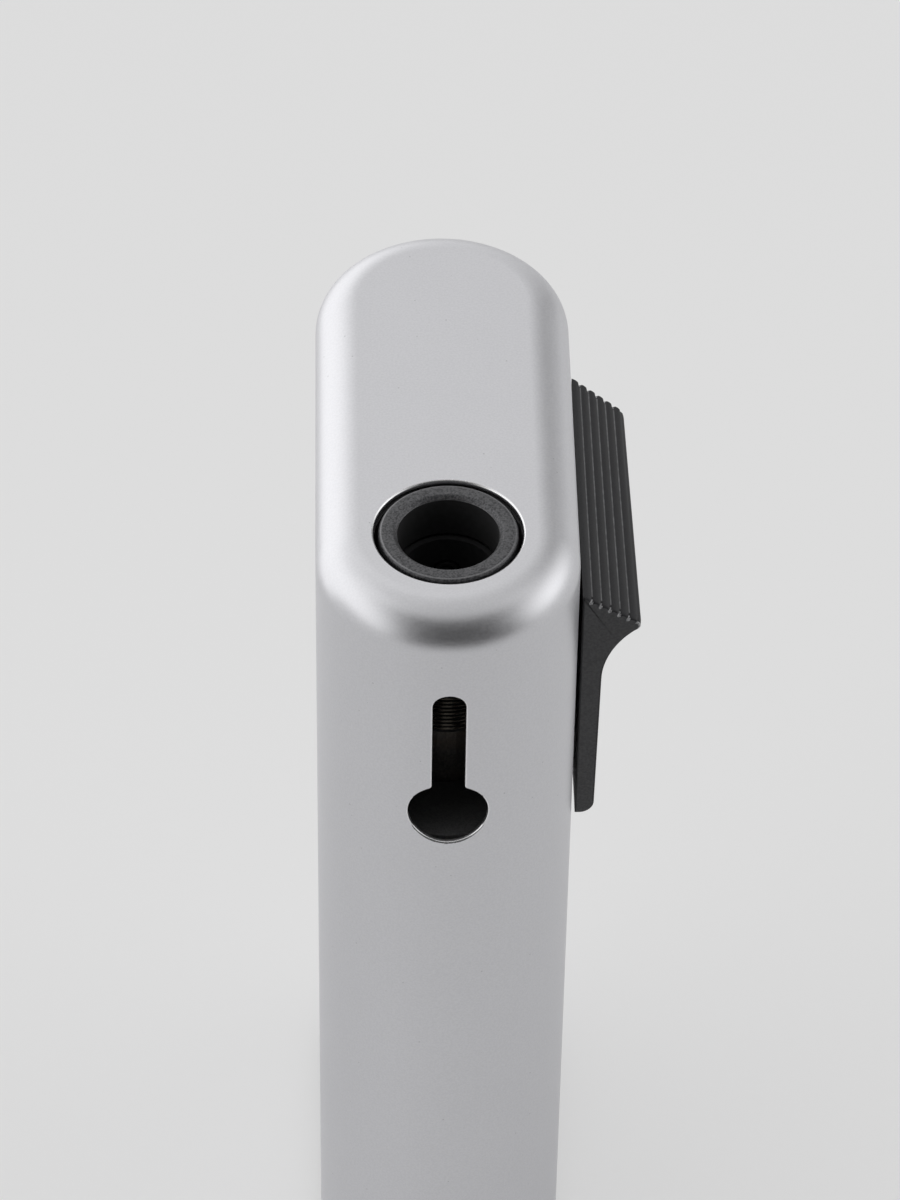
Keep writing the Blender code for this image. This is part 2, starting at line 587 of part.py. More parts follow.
def build_burner(black, brass, dark_steel, ceramic, rubber):
    """Nozzle ring, threaded burner head, perforated disc, mixing tube, jet and hose, all on one axis."""
    axis = (0.0, FRONT_Y, 0.0)
    shoulder = NOZZLE_Z + NOZZLE_THREAD_DEPTH
    thread = BURNER_RADIUS + FIT_GAP
    ring = [
        (thread, NOZZLE_Z), (NOZZLE_RADIUS, NOZZLE_Z), (NOZZLE_RADIUS, NOZZLE_TOP_Z),
        (NOZZLE_BORE_RADIUS + NOZZLE_CHAMFER, NOZZLE_TOP_Z),
        (NOZZLE_BORE_RADIUS, NOZZLE_TOP_Z - NOZZLE_CHAMFER),
        (NOZZLE_BORE_RADIUS, shoulder), (thread, shoulder),
    ]
    piece("nozzle_ring", turned(ring, 2 * TURN_SEGMENTS, FRONT_Y), black, axis)

    head = [
        (SOCKET_RADIUS, BURNER_Z), (BURNER_RADIUS, BURNER_Z), (BURNER_RADIUS, BURNER_TOP_Z),
        (CHAMBER_RADIUS, BURNER_TOP_Z), (CHAMBER_RADIUS, MIXING_TOP_Z), (SOCKET_RADIUS, MIXING_TOP_Z),
    ]
    burner = piece("burner_head", turned(head, TURN_SEGMENTS, FRONT_Y), brass, axis)
    entry = rod(INSULATOR_RADIUS + FIT_GAP, -BURNER_RADIUS, 0.0)
    combine(burner, "electrode_hole", laid(entry, "Y", (0.0, FRONT_Y, ELECTRODE_Z)))

    disc_z = MIXING_TOP_Z + FIT_GAP
    disc_radius = CHAMBER_RADIUS - FIT_GAP
    disc_top_z = disc_z + FLAME_DISC_HEIGHT
    disc = piece("flame_disc", rod(disc_radius, disc_z, disc_top_z, FRONT_Y), ceramic, axis)
    for index in range(FLAME_HOLE_COUNT):
        angle = 2 * math.pi * index / FLAME_HOLE_COUNT
        hole = rod(FLAME_HOLE_RADIUS, disc_z - OVERCUT, disc_top_z + OVERCUT, FRONT_Y, SEAL_SEGMENTS)
        offset = (FLAME_HOLE_CIRCLE * math.cos(angle), FLAME_HOLE_CIRCLE * math.sin(angle), 0.0)
        bmesh.ops.translate(hole, verts=hole.verts, vec=offset)
        combine(disc, f"hole_{index}", hole)

    mixing_bore = MIXING_RADIUS - MIXING_WALL
    pipe = tube(MIXING_RADIUS, mixing_bore, MIXING_Z, MIXING_TOP_Z, FRONT_Y, TURN_SEGMENTS)
    mixing = piece("mixing_tube", pipe, dark_steel, axis)
    air = rod(AIR_HOLE_RADIUS, -BURNER_RADIUS, BURNER_RADIUS)
    combine(mixing, "air_holes", laid(air, "X", (0.0, FRONT_Y, LEDGE_Z + AIR_HOLE_RISE)))

    barb = HOSE_BORE_RADIUS - FIT_GAP
    jet = [
        (JET_ORIFICE_RADIUS, HOSE_MIDDLE_Z + FIT_GAP), (barb, HOSE_MIDDLE_Z + FIT_GAP), (barb, JET_Z),
        (MIXING_RADIUS, JET_Z), (MIXING_RADIUS, JET_TOP_Z), (JET_ORIFICE_RADIUS, JET_TOP_Z),
    ]
    piece("jet_holder", turned(jet, TURN_SEGMENTS, FRONT_Y), brass, axis)
    piece("gas_hose", tube(HOSE_RADIUS, HOSE_BORE_RADIUS, HOSE_Z, HOSE_TOP_Z, FRONT_Y), rubber, axis)


def build_ignition(ceramic, steel, red, black, acetal):
    """Electrode in its ceramic sleeve, the lead along the roof, and the piezo unit with its plunger."""
    tip_y = FRONT_Y + CHAMBER_RADIUS - ELECTRODE_REACH
    sleeve_front_y = FRONT_Y + CHAMBER_RADIUS
    sleeve_back_y = POCKET_FRONT_Y + FIT_GAP
    pin_back_y = sleeve_back_y + SLIDE_ROOM
    bore = ELECTRODE_RADIUS + FIT_GAP
    middle = (0.0, 0.0, ELECTRODE_Z)
    sleeve = laid(tube(INSULATOR_RADIUS, bore, -sleeve_back_y, -sleeve_front_y), "Y", middle)
    piece("electrode_insulator", sleeve, ceramic)
    piece("electrode", laid(rod(ELECTRODE_RADIUS, -pin_back_y, -tip_y), "Y", middle), steel)

    roof_z = CARRIAGE_TOP_Z + WIRE_RISE
    lead_y = (PIEZO_BACK_Y + PIEZO_POCKET_BACK_Y) / 2
    clip_z = PIEZO_Z + PIEZO_FOOT_HEIGHT
    start_y = pin_back_y + FIT_GAP
    stations = [
        (0.0, start_y, ELECTRODE_Z), (0.0, start_y + WIRE_RISE, ELECTRODE_Z + WIRE_RADIUS),
        (0.0, PIEZO_POCKET_Y, roof_z), (0.0, PIEZO_Y, roof_z),
        (0.0, lead_y - WIRE_RADIUS, roof_z - WIRE_RISE), (0.0, lead_y, PIEZO_TOP_Z),
        (0.0, lead_y, clip_z + 3 * WIRE_RISE), (0.0, lead_y, clip_z),
    ]
    swept("ignition_wire", smooth_route(stations, ROUTE_STEPS), WIRE_RADIUS, 2, red, (0.0, 0.0, 0.0))

    half_x = PIEZO_WIDTH / 2
    half_y = PIEZO_LENGTH / 2
    low = (-half_x, PIEZO_Y - half_y, PIEZO_Z)
    place = (0.0, PIEZO_Y, PIEZO_Z)
    body = piece("piezo_body", block(low, (half_x, PIEZO_BACK_Y, PIEZO_TOP_Z)), black, place)
    foot = rod(PIEZO_FOOT_RADIUS, PIEZO_FOOT_Z, PIEZO_Z + PIEZO_FOOT_HEIGHT, PIEZO_Y)
    combine(body, "foot", foot, "UNION")
    half = PLUNGER_WIDTH / 2
    fit = half + FIT_GAP
    bore_low = (-fit, PIEZO_Y - fit, PLUNGER_BORE_Z)
    combine(body, "plunger_bore", block(bore_low, (fit, PIEZO_Y + fit, PIEZO_TOP_Z + OVERCUT)))
    rod_low = (-half, PIEZO_Y - half, PLUNGER_Z)
    plunger = block(rod_low, (half, PIEZO_Y + half, PLUNGER_TOP_Z))
    piece("piezo_plunger", plunger, acetal, (0.0, PIEZO_Y, PLUNGER_Z))


def build_chassis(black):
    """The moulded inner frame: burner bore, keyhole window, lever bay, carriage and piezo pockets."""
    fillet = TOP_FILLET - CASE_WALL - FIT_GAP
    rings = [(INNER_FIT, CHASSIS_Z), *fillet_rings(INNER_FIT, CHASSIS_TOP_Z, fillet)]
    chassis = piece("chassis", loft(rings, INNER_END_SEGMENTS), black)
    half = POCKET_WIDTH / 2
    bay_front_y = FRONT_Y - VALVE_FLANGE_RADIUS - FIT_GAP
    bay_low = (-half, bay_front_y, CHASSIS_Z - OVERCUT)
    bay_back_y = PIEZO_Y + PIEZO_FOOT_RADIUS + SLIDE_ROOM
    combine(chassis, "lever_bay", block(bay_low, (half, bay_back_y, SHELF_Z)))
    bore_top_z = CHASSIS_TOP_Z + OVERCUT
    bore = stepped(SOCKET_RADIUS, BURNER_BORE, SHELF_Z - OVERCUT, LEDGE_Z, bore_top_z, FRONT_Y)
    combine(chassis, "burner_bore", bore)
    window = KEYHOLE_RADIUS + LEDGE_DROP
    window_top_z = BODY_HEIGHT - KEYHOLE_TOP_DROP + LEDGE_DROP
    window_low = (-window, FRONT_Y - HALF_WIDTH, LEDGE_Z + LEDGE_DROP / 2)
    combine(chassis, "keyhole_window", block(window_low, (window, FRONT_Y, window_top_z)))
    middle_low = (-half, POCKET_FRONT_Y, SHELF_TOP_Z)
    combine(chassis, "carriage_pocket", block(middle_low, (HALF_WIDTH, MIDDLE_BACK_Y, POCKET_TOP_Z)))
    piezo = PIEZO_WIDTH / 2 + FIT_GAP
    piezo_low = (-piezo, PIEZO_POCKET_Y, CHASSIS_Z - OVERCUT)
    combine(chassis, "piezo_pocket", block(piezo_low, (piezo, PIEZO_POCKET_BACK_Y, POCKET_TOP_Z)))
    arm = PIEZO_WIDTH / 2 - SLIDE_ROOM + FIT_GAP
    way_low = (-arm, SPRING_Y, ARM_Z - TRIGGER_TRAVEL - FIT_GAP)
    combine(chassis, "arm_way", block(way_low, (arm, PIEZO_Y, POCKET_TOP_Z - FIT_GAP)))
    way = rod(INSULATOR_RADIUS + FIT_GAP, -POCKET_FRONT_Y - OVERCUT, -FRONT_Y)
    combine(chassis, "electrode_hole", laid(way, "Y", (0.0, 0.0, ELECTRODE_Z)))
    reach = half + LEVER_PIN_SEAT + FIT_GAP
    seat = rod(LEVER_PIN_RADIUS + FIT_GAP, -reach, reach)
    combine(chassis, "pin_seats", laid(seat, "X", (0.0, LEVER_PIN_Y, LEVER_PIN_Z)))


def lever_outline():
    """The lever's plan, as (x, y): a fork about the valve stem, a wide middle and a narrow tail."""
    wide = LEVER_WIDTH / 2
    tail = LEVER_TAIL_WIDTH / 2
    slot = STEM_RADIUS + FIT_GAP
    prong_y = FRONT_Y - FORK_LENGTH
    neck_y = LEVER_PIN_Y + FORK_LENGTH
    tail_y = PIEZO_Y + PIEZO_FOOT_RADIUS
    prong = slot + FORK_LENGTH / 2
    right = [(slot, prong_y), (prong, prong_y), (wide, FRONT_Y + 2 * FORK_LENGTH), (wide, neck_y)]
    right += [(tail, neck_y + FORK_LENGTH), (tail, tail_y)]
    crotch = arc((0.0, FRONT_Y), slot, math.pi, 0.0)
    left = [(-x, y) for x, y in reversed(right)]
    return right + left + crotch


def build_lever(steel):
    """The rocking lever between the piezo's foot and the valve stem's flange, and its pin."""
    pivot = (0.0, LEVER_PIN_Y, LEVER_PIN_Z)
    lever = piece("gas_lever", prism(lever_outline(), "Z", LEVER_Z, LEVER_TOP_Z), steel, pivot)
    wide = LEVER_WIDTH / 2
    ear_half = LEVER_PIN_RADIUS + LEVER_EAR
    for side, inner in (("right", wide - LEVER_EAR), ("left", -wide)):
        low = (inner, LEVER_PIN_Y - ear_half, LEVER_Z + LEVER_THICKNESS / 2)
        ear = block(low, (inner + LEVER_EAR, LEVER_PIN_Y + ear_half, LEVER_PIN_Z + LEVER_EAR))
        combine(lever, f"{side}_ear", ear, "UNION")
    hole = rod(LEVER_PIN_RADIUS + FIT_GAP, -LEVER_WIDTH, LEVER_WIDTH)
    combine(lever, "pin_hole", laid(hole, "X", pivot))
    reach = POCKET_WIDTH / 2 + LEVER_PIN_SEAT
    piece("lever_pin", laid(rod(LEVER_PIN_RADIUS, -reach, reach), "X", pivot), steel, pivot)


def build_outlet_valve(brass, steel, rubber):
    """Valve in the tank's lid: body, stem, seat disc, spring and ring seal."""
    axis = (0.0, FRONT_Y, 0.0)
    seal_bore = STEM_HOLE + SEAL_WIRE + FIT_GAP
    neck_top_z = NECK_Z + VALVE_NECK
    body = [
        (VALVE_BORE_RADIUS, VALVE_BOTTOM_Z), (VALVE_RADIUS, VALVE_BOTTOM_Z), (VALVE_RADIUS, VALVE_FLANGE_Z),
        (VALVE_FLANGE_RADIUS, VALVE_FLANGE_Z), (VALVE_FLANGE_RADIUS, VALVE_TOP_Z), (seal_bore, VALVE_TOP_Z),
        (seal_bore, neck_top_z), (STEM_HOLE, neck_top_z), (STEM_HOLE, NECK_Z), (VALVE_BORE_RADIUS, NECK_Z),
    ]
    piece("valve_body", turned(body, TURN_SEGMENTS, FRONT_Y), brass, axis)

    flange_top_z = STEM_FLANGE_Z + STEM_FLANGE
    tip_z = HOSE_MIDDLE_Z - VALVE_LIFT - FIT_GAP
    collar_top_z = COLLAR_Z + STEM_COLLAR
    stem = [
        (0, COLLAR_Z), (STEM_COLLAR_RADIUS, COLLAR_Z), (STEM_COLLAR_RADIUS, collar_top_z),
        (STEM_RADIUS, collar_top_z), (STEM_RADIUS, STEM_FLANGE_Z), (STEM_FLANGE_RADIUS, STEM_FLANGE_Z),
        (STEM_FLANGE_RADIUS, flange_top_z), (STEM_RADIUS, flange_top_z), (STEM_RADIUS, tip_z),
        (STEM_BORE_RADIUS, tip_z), (STEM_BORE_RADIUS, NECK_Z), (0, NECK_Z),
    ]
    piece("valve_stem", turned(stem, SMALL_SEGMENTS, FRONT_Y), brass, axis)
    piece("valve_seal", rod(STEM_COLLAR_RADIUS, SEAL_Z, SEAL_Z + SEAL_HEIGHT, FRONT_Y), rubber, axis)
    low = collar_top_z + FIT_GAP
    high = NECK_Z - FIT_GAP
    coil("valve_spring", VALVE_SPRING_RADIUS, VALVE_SPRING_WIRE, low, high, VALVE_SPRING_TURNS, steel, axis)
    piece("valve_o_ring", seal(STEM_HOLE, O_RING_Z, FRONT_Y), rubber, axis)


def build_tank(clear, black, rubber, brass, foam):
    """The fuel tank with screw bosses, its lid and gasket, and the gas riser with its restrictor."""
    rings = [
        (TANK_INNER, TANK_FLOOR_Z), (TANK_INNER, TANK_TOP_Z),
        (INNER_FIT, TANK_TOP_Z), (INNER_FIT, TANK_BOTTOM_Z),
    ]
    tank = piece("tank", loft(rings, INNER_END_SEGMENTS), clear)
    for side, y in (("front", -SCREW_Y), ("rear", SCREW_Y)):
        boss = rod(BOSS_RADIUS, TANK_BOTTOM_Z + TANK_FLOOR / 2, TANK_FLOOR_Z + BOSS_HEIGHT, y)
        combine(tank, f"{side}_boss", boss, "UNION")
        bore = rod(SCREW_RADIUS + FIT_GAP, TANK_BOTTOM_Z - OVERCUT, SCREW_TIP_Z + FIT_GAP, y)
        combine(tank, f"{side}_screw_hole", bore)
    for side, radius, y in (("fill_valve", FILL_RADIUS, REAR_Y), ("adjuster", ADJUSTER_RADIUS, FRONT_Y)):
        hole = radius + FIT_GAP
        groove = hole + SEAL_WIRE + FIT_GAP
        groove_top_z = TANK_BOTTOM_Z + SEAL_WIRE + FIT_GAP
        way = stepped(groove, hole, TANK_BOTTOM_Z - OVERCUT, groove_top_z, TANK_FLOOR_Z + OVERCUT, y)
        combine(tank, f"{side}_hole", way)
        piece(f"{side}_seal", seal(hole, TANK_BOTTOM_Z + SEAL_WIRE / 2, y), rubber, (0.0, y, 0.0))

    gasket_inner = TANK_INNER + FIT_GAP
    gasket_rings = [
        (INNER_FIT - FIT_GAP, GASKET_Z), (INNER_FIT - FIT_GAP, GASKET_Z + GASKET_HEIGHT),
    ]
    gasket = piece("tank_gasket", loft(gasket_rings, INNER_END_SEGMENTS), rubber)
    opening = loft([(gasket_inner, GASKET_Z - OVERCUT), (gasket_inner, LID_FLANGE_Z)], INNER_END_SEGMENTS)
    combine(gasket, "opening", opening)

    plug = TANK_INNER - FIT_GAP
    lid_rings = [
        (plug, TANK_TOP_Z - LID_PLUG), (plug, LID_FLANGE_Z),
        (INNER_FIT, LID_FLANGE_Z), (INNER_FIT, LID_TOP_Z),
    ]
    lid = piece("tank_lid", loft(lid_rings, INNER_END_SEGMENTS), black)
    valve_hole = rod(VALVE_RADIUS + FIT_GAP, VALVE_BOTTOM_Z, LID_TOP_Z + OVERCUT, FRONT_Y, TURN_SEGMENTS)
    combine(lid, "valve_hole", valve_hole)

    axis = (0.0, FRONT_Y, 0.0)
    cup_bore = RISER_RADIUS + FIT_GAP
    piece("restrictor_cup", tube(CUP_RADIUS, cup_bore, CUP_Z, CUP_Z + CUP_HEIGHT, FRONT_Y), brass, axis)
    wad = rod(RISER_RADIUS, RESTRICTOR_Z, RESTRICTOR_Z + RESTRICTOR_HEIGHT, FRONT_Y)
    piece("flow_restrictor", wad, foam, axis)
    piece("riser_tube", tube(RISER_RADIUS, RISER_BORE_RADIUS, RISER_Z, RISER_TOP_Z, FRONT_Y), clear, axis)


def build_base(black, steel):
    """The moulded base with recesses for the screws, the refill valve and the flame adjuster."""
    flange = HALF_WIDTH - BASE_INSET
    rings = [
        (flange - BASE_CHAMFER, 0.0), (flange, BASE_CHAMFER), (flange, BASE_FLANGE),
        (INNER_FIT, BASE_FLANGE), (INNER_FIT, PLUG_TOP_Z),
    ]
    base = piece("base_cap", loft(rings, END_SEGMENTS), black)
    recesses = (
        ("fill", FILL_FLANGE_RADIUS, BASE_RECESS + FILL_FLANGE, FILL_RADIUS, REAR_Y),
        ("adjuster", DIAL_RADIUS, DIAL_TOP_Z, ADJUSTER_RADIUS, FRONT_Y),
        ("front_screw", SCREW_HEAD_RADIUS, BASE_RECESS + SCREW_HEAD, SCREW_RADIUS, -SCREW_Y),
        ("rear_screw", SCREW_HEAD_RADIUS, BASE_RECESS + SCREW_HEAD, SCREW_RADIUS, SCREW_Y),
    )
    for name, wide, depth, narrow, y in recesses:
        top_z = PLUG_TOP_Z + OVERCUT
        recess = stepped(wide + FIT_GAP, narrow + FIT_GAP, -OVERCUT, depth + FIT_GAP, top_z, y)
        combine(base, f"{name}_recess", recess)

    for side, y in (("front", -SCREW_Y), ("rear", SCREW_Y)):
        head_z = BASE_RECESS + SCREW_HEAD
        profile = [
            (0, BASE_RECESS), (SCREW_HEAD_RADIUS, BASE_RECESS), (SCREW_HEAD_RADIUS, head_z),
            (SCREW_RADIUS, head_z), (SCREW_RADIUS, SCREW_TIP_Z), (0, SCREW_TIP_Z),
        ]
        screw = piece(f"base_screw_{side}", turned(profile, SMALL_SEGMENTS, y), steel, (0.0, y, 0.0))
        half = DRIVE_WIDTH / 2
        for name, half_x, half_y in (("drive_x", SCREW_RADIUS, half), ("drive_y", half, SCREW_RADIUS)):
            low = (-half_x, y - half_y, BASE_RECESS - OVERCUT)
            combine(screw, name, block(low, (half_x, y + half_y, BASE_RECESS + DRIVE_DEPTH)))


def build_fill_valve(brass, steel):
    """The refill valve at the back of the base: body, sprung stem and spring."""
    axis = (0.0, REAR_Y, 0.0)
    flange_z = BASE_RECESS + FILL_FLANGE
    nose_hole = FILL_STEM_RADIUS + FIT_GAP
    lip_z = FILL_COLLAR_Z - FIT_GAP
    body = [
        (nose_hole, BASE_RECESS), (FILL_FLANGE_RADIUS, BASE_RECESS), (FILL_FLANGE_RADIUS, flange_z),
        (FILL_RADIUS, flange_z), (FILL_RADIUS, FILL_TOP_Z), (FILL_OUTLET_RADIUS, FILL_TOP_Z),
        (FILL_OUTLET_RADIUS, FILL_NECK_Z), (FILL_BORE_RADIUS, FILL_NECK_Z), (FILL_BORE_RADIUS, lip_z),
        (nose_hole, lip_z),
    ]
    piece("fill_valve_body", turned(body, TURN_SEGMENTS, REAR_Y), brass, axis)
    collar_top_z = FILL_COLLAR_Z + FILL_COLLAR
    stem = [
        (0, FILL_NOSE_Z), (FILL_STEM_RADIUS, FILL_NOSE_Z), (FILL_STEM_RADIUS, FILL_COLLAR_Z),
        (FILL_COLLAR_RADIUS, FILL_COLLAR_Z), (FILL_COLLAR_RADIUS, collar_top_z), (0, collar_top_z),
    ]
    piece("fill_valve_stem", turned(stem, SMALL_SEGMENTS, REAR_Y), brass, axis)
    low = collar_top_z + FIT_GAP
    high = FILL_NECK_Z - FIT_GAP
    coil("fill_valve_spring", FILL_SPRING_RADIUS, FILL_SPRING_WIRE, low, high, FILL_SPRING_TURNS, steel, axis)


def build_adjuster(black, brass):
    """The flame adjuster at the front of the base: notched dial and its screw."""
    axis = (0.0, FRONT_Y, 0.0)
    disc = rod(DIAL_RADIUS, BASE_RECESS, DIAL_TOP_Z, FRONT_Y, 2 * TURN_SEGMENTS)
    dial = piece("adjuster_dial", disc, black, axis)
    notches = bmesh.new()
    for index in range(DIAL_NOTCH_COUNT):
        angle = 2 * math.pi * index / DIAL_NOTCH_COUNT
        notch = rod(DIAL_NOTCH_RADIUS, BASE_RECESS - OVERCUT, DIAL_TOP_Z + OVERCUT, FRONT_Y, SEAL_SEGMENTS)
        offset = (DIAL_RADIUS * math.cos(angle), DIAL_RADIUS * math.sin(angle), 0.0)
        bmesh.ops.translate(notch, verts=notch.verts, vec=offset)
        scratch = bpy.data.meshes.new("notch")
        notch.to_mesh(scratch)
        notch.free()
        notches.from_mesh(scratch)
        bpy.data.meshes.remove(scratch)
    combine(dial, "notches", notches)
    slot = DIAL_RADIUS / 2
    half = DRIVE_WIDTH
    low = (-slot, FRONT_Y - half, BASE_RECESS - OVERCUT)
    combine(dial, "coin_slot", block(low, (slot, FRONT_Y + half, BASE_RECESS + DRIVE_DEPTH)))
    piece("adjuster_screw", rod(ADJUSTER_RADIUS, DIAL_TOP_Z + FIT_GAP, ADJUSTER_TOP_Z, FRONT_Y), brass, axis)


def main():
    """Clear the scene and build every piece of the torch."""
    for item in list(bpy.data.objects):
        bpy.data.objects.remove(item)
    aluminium = finish("blasted_aluminium", (0.60, 0.60, 0.62), 0.42, 1.0)
    black = finish("black_moulding", (0.035, 0.035, 0.037), 0.55)
    blasted = finish("blasted_black_ring", (0.05, 0.05, 0.05), 0.7)
    brass = finish("brass", (0.58, 0.42, 0.18), 0.35, 1.0)
    steel = finish("spring_steel", (0.55, 0.55, 0.55), 0.3, 1.0)
    dark_steel = finish("burnt_steel", (0.09, 0.08, 0.075), 0.45, 1.0)
    ceramic = finish("white_ceramic", (0.75, 0.73, 0.68), 0.5)
    rubber = finish("black_rubber", (0.03, 0.03, 0.03), 0.8)
    acetal = finish("white_acetal", (0.72, 0.72, 0.70), 0.45)
    clear = finish("smoked_tank_plastic", (0.35, 0.35, 0.36), 0.3)
    foam = finish("filter_foam", (0.6, 0.55, 0.45), 0.9)
    red = finish("red_lead", (0.45, 0.04, 0.03), 0.5)
    build_case(aluminium)
    build_trigger(black, acetal, steel)
    build_burner(blasted, brass, dark_steel, ceramic, rubber)
    build_ignition(ceramic, steel, red, black, acetal)
    build_chassis(black)
    build_lever(steel)
    build_outlet_valve(brass, steel, rubber)
    build_tank(clear, black, rubber, brass, foam)
    build_base(black, steel)
    build_fill_valve(brass, steel)
    build_adjuster(black, brass)


main()
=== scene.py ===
"""Looks of a pocket butane torch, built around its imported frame.

Everything is in metres, in the frame's own axes: +Z up, the nozzle and the keyhole at the -Y end, the
thumb trigger on the +X flank. The file is laid out as an add-on and is run as a script.
"""
import json
import math
from typing import NamedTuple

import bmesh
import bpy
from bpy.props import FloatProperty, FloatVectorProperty, IntProperty, PointerProperty
from mathutils import Euler, Matrix, Vector


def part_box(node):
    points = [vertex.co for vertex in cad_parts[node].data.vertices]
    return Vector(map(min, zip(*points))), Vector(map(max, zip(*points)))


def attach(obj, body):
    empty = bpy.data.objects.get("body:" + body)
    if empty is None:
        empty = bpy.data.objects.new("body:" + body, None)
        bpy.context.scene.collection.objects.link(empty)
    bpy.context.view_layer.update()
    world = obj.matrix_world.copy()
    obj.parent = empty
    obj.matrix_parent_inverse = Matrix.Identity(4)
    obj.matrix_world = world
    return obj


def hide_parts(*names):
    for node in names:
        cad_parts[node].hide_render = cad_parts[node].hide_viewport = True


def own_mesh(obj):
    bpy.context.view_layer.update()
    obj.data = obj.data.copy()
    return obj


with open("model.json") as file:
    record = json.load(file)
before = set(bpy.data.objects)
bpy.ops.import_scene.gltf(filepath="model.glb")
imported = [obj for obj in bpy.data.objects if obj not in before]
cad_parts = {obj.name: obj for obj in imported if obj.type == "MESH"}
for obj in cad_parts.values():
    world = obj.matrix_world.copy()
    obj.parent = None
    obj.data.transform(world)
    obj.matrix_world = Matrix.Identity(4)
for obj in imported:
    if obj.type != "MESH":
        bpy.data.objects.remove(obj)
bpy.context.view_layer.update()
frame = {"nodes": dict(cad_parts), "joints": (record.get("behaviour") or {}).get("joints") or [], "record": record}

bl_info = {
    "name": "Pocket Butane Torch",
    "version": (1, 0, 0),
    "blender": (4, 5, 0),
    "location": "View3D > Sidebar > Torch",
    "description": "Builds the finished pieces of a pocket butane torch around its packed frame",
    "category": "Object",
}

MM = 0.001

# Places taken from the frame
CASE_LOW, CASE_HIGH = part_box("case")
HALF_WIDTH = CASE_HIGH.x
TOP_Z = CASE_HIGH.z
REAR_Y = CASE_HIGH.y - HALF_WIDTH
FRONT_Y = CASE_LOW.y + HALF_WIDTH
BODY_OF = {node: body for body, nodes in frame["record"]["behaviour"]["bodies"].items() for node in nodes}
SCREWS = ("base_screw_front", "base_screw_rear")

# Facets
END_STEPS = 96
FILLET_STEPS = 18
WALL_RINGS = 12
ROUND_STEPS = 96
FINE_STEPS = 192
SMALL_STEPS = 48
ARC_STEPS = 12
KEYHOLE_STEPS = 72
SLOT_STEPS = 36
SEAL_STEPS = 24
RIB_STEPS = 14
THREAD_ROWS = 8
COIL_STEPS = 28
WIRE_SIDES = 12
EASE_STEPS = 5
END_ROWS = 4
FLARE_ROWS = 4
CAP_CORNERS = 17
SMOOTH_ANGLE = math.radians(35)

# Shares and limits of shapes
OVERCUT = 0.5 * MM
SKIN_COSINE = math.cos(math.radians(12))
BROKEN_EDGE = ((0.0, 1.0), (0.4, 0.35), (1.0, 0.0))
EASE_LIMIT = 0.45
THROAT_LEAST = 0.1
MITER_LEAST = 0.5
MOUTH_SHARE = 0.1
GROOVE_FADE = 4
LIP_WEAR = 0.4
# How near a groove's middle a face must be to take the painted highlight
GROOVE_HIGHLIGHT_NEARNESS = 0.7
# Width of the painted highlight on the ring's edges, in worn-edge radii
EDGE_HIGHLIGHT_WIDTH = 0.8
CLOSED_TURNS = 0.8
CLOSED_PITCH = 0.9

# Numbers of the materials on painted pieces
PAINTS = 4
CASE_EDGE = 1
# Black painted shade in the bore, the chamber and the thread's roots
PAINTED_SHADE_SLOT = 1
# A painted highlight on the ring's edges
RING_EDGE_HIGHLIGHT = 2
# A painted highlight along the trigger's grooves
TRIGGER_GROOVE_HIGHLIGHT = 1
TRIGGER_WORN = 2
# The trigger's ends painted paler, as painted light
TRIGGER_PAINTED_LIT_END = 3

# Sockets of the Mix node that take colours
MIX_FACTOR = 0
MIX_FIRST = 6
MIX_SECOND = 7
MIX_RESULT = 2

# The grain of every finish, and the finish of a plain one
CLOUD_SIZE = 30
CLOUD_SHARE = 0.12
GRAIN_LOW = 0.3
GRAIN_HIGH = 0.7
PLAIN_RELIEF = 0.002 * MM
PLAIN_SPREAD = 0.12
PLAIN_SHINE = 0.5
PLAIN_DETAIL = 2.0
MOULDED_SHINE = 0.25
EDGE_SHADE = 0.92
DEEP_SHADE = 0.5


def length(label, text, millimetres):
    """A size that a user may change."""
    return FloatProperty(name=label, description=text, default=millimetres * MM, unit="LENGTH", precision=5)


def slant(label, text, degrees):
    """An angle that a user may change."""
    return FloatProperty(name=label, description=text, default=math.radians(degrees), subtype="ANGLE")


def colour(label, text, value):
    """A finish's colour that a user may change."""
    return FloatVectorProperty(
        name=label, description=text, default=value, size=3, subtype="COLOR", min=0.0, max=1.0
    )


def level(label, text, value):
    """A light level or a share that a user may change."""
    return FloatProperty(
        name=label, description=text, default=value, min=0.0, subtype="FACTOR", soft_max=4.0
    )


class TorchCase(bpy.types.PropertyGroup):
    """Sizes and colours of the drawn case"""

    wall: length("Wall", "Sheet thickness", 0.3)
    fillet: length("Top fillet", "Radius of the top edge", 2.8)
    deburr: length("Deburr", "Width of the openings' broken edges", 0.12)
    ring_gap: length("Ring gap", "Gap round the nozzle ring", 0.3)
    keyhole_drop: length("Keyhole drop", "Case top to the middle of the keyhole's circle", 17.2)
    keyhole_radius: length("Keyhole radius", "Radius of the keyhole's circle", 2.58)
    slot_width: length("Slot width", "Width of the keyhole's slot", 2.11)
    slot_drop: length("Slot drop", "Case top to the top of the slot", 6.5)
    throat: length("Throat", "Radius where slot and circle meet", 0.3)
    tongue_width: length("Tongue width", "Width of the trigger's window", 4.6)
    tongue_top: length("Window drop", "Case top to the window's top", 11.0)
    tongue_height: length("Window height", "Height of the trigger's window", 9.2)
    grain: length("Grain", "Size of the blasted grain", 0.14)
    shade: colour("Shade", "Darker blasted metal", (0.685, 0.685, 0.708))
    light: colour("Light", "Lighter blasted metal", (0.735, 0.735, 0.758))
    pit: colour("Pit", "Sparse dark specks", (0.30, 0.30, 0.31))
    edge: colour("Edge", "Bright broken edges", (0.86, 0.86, 0.87))


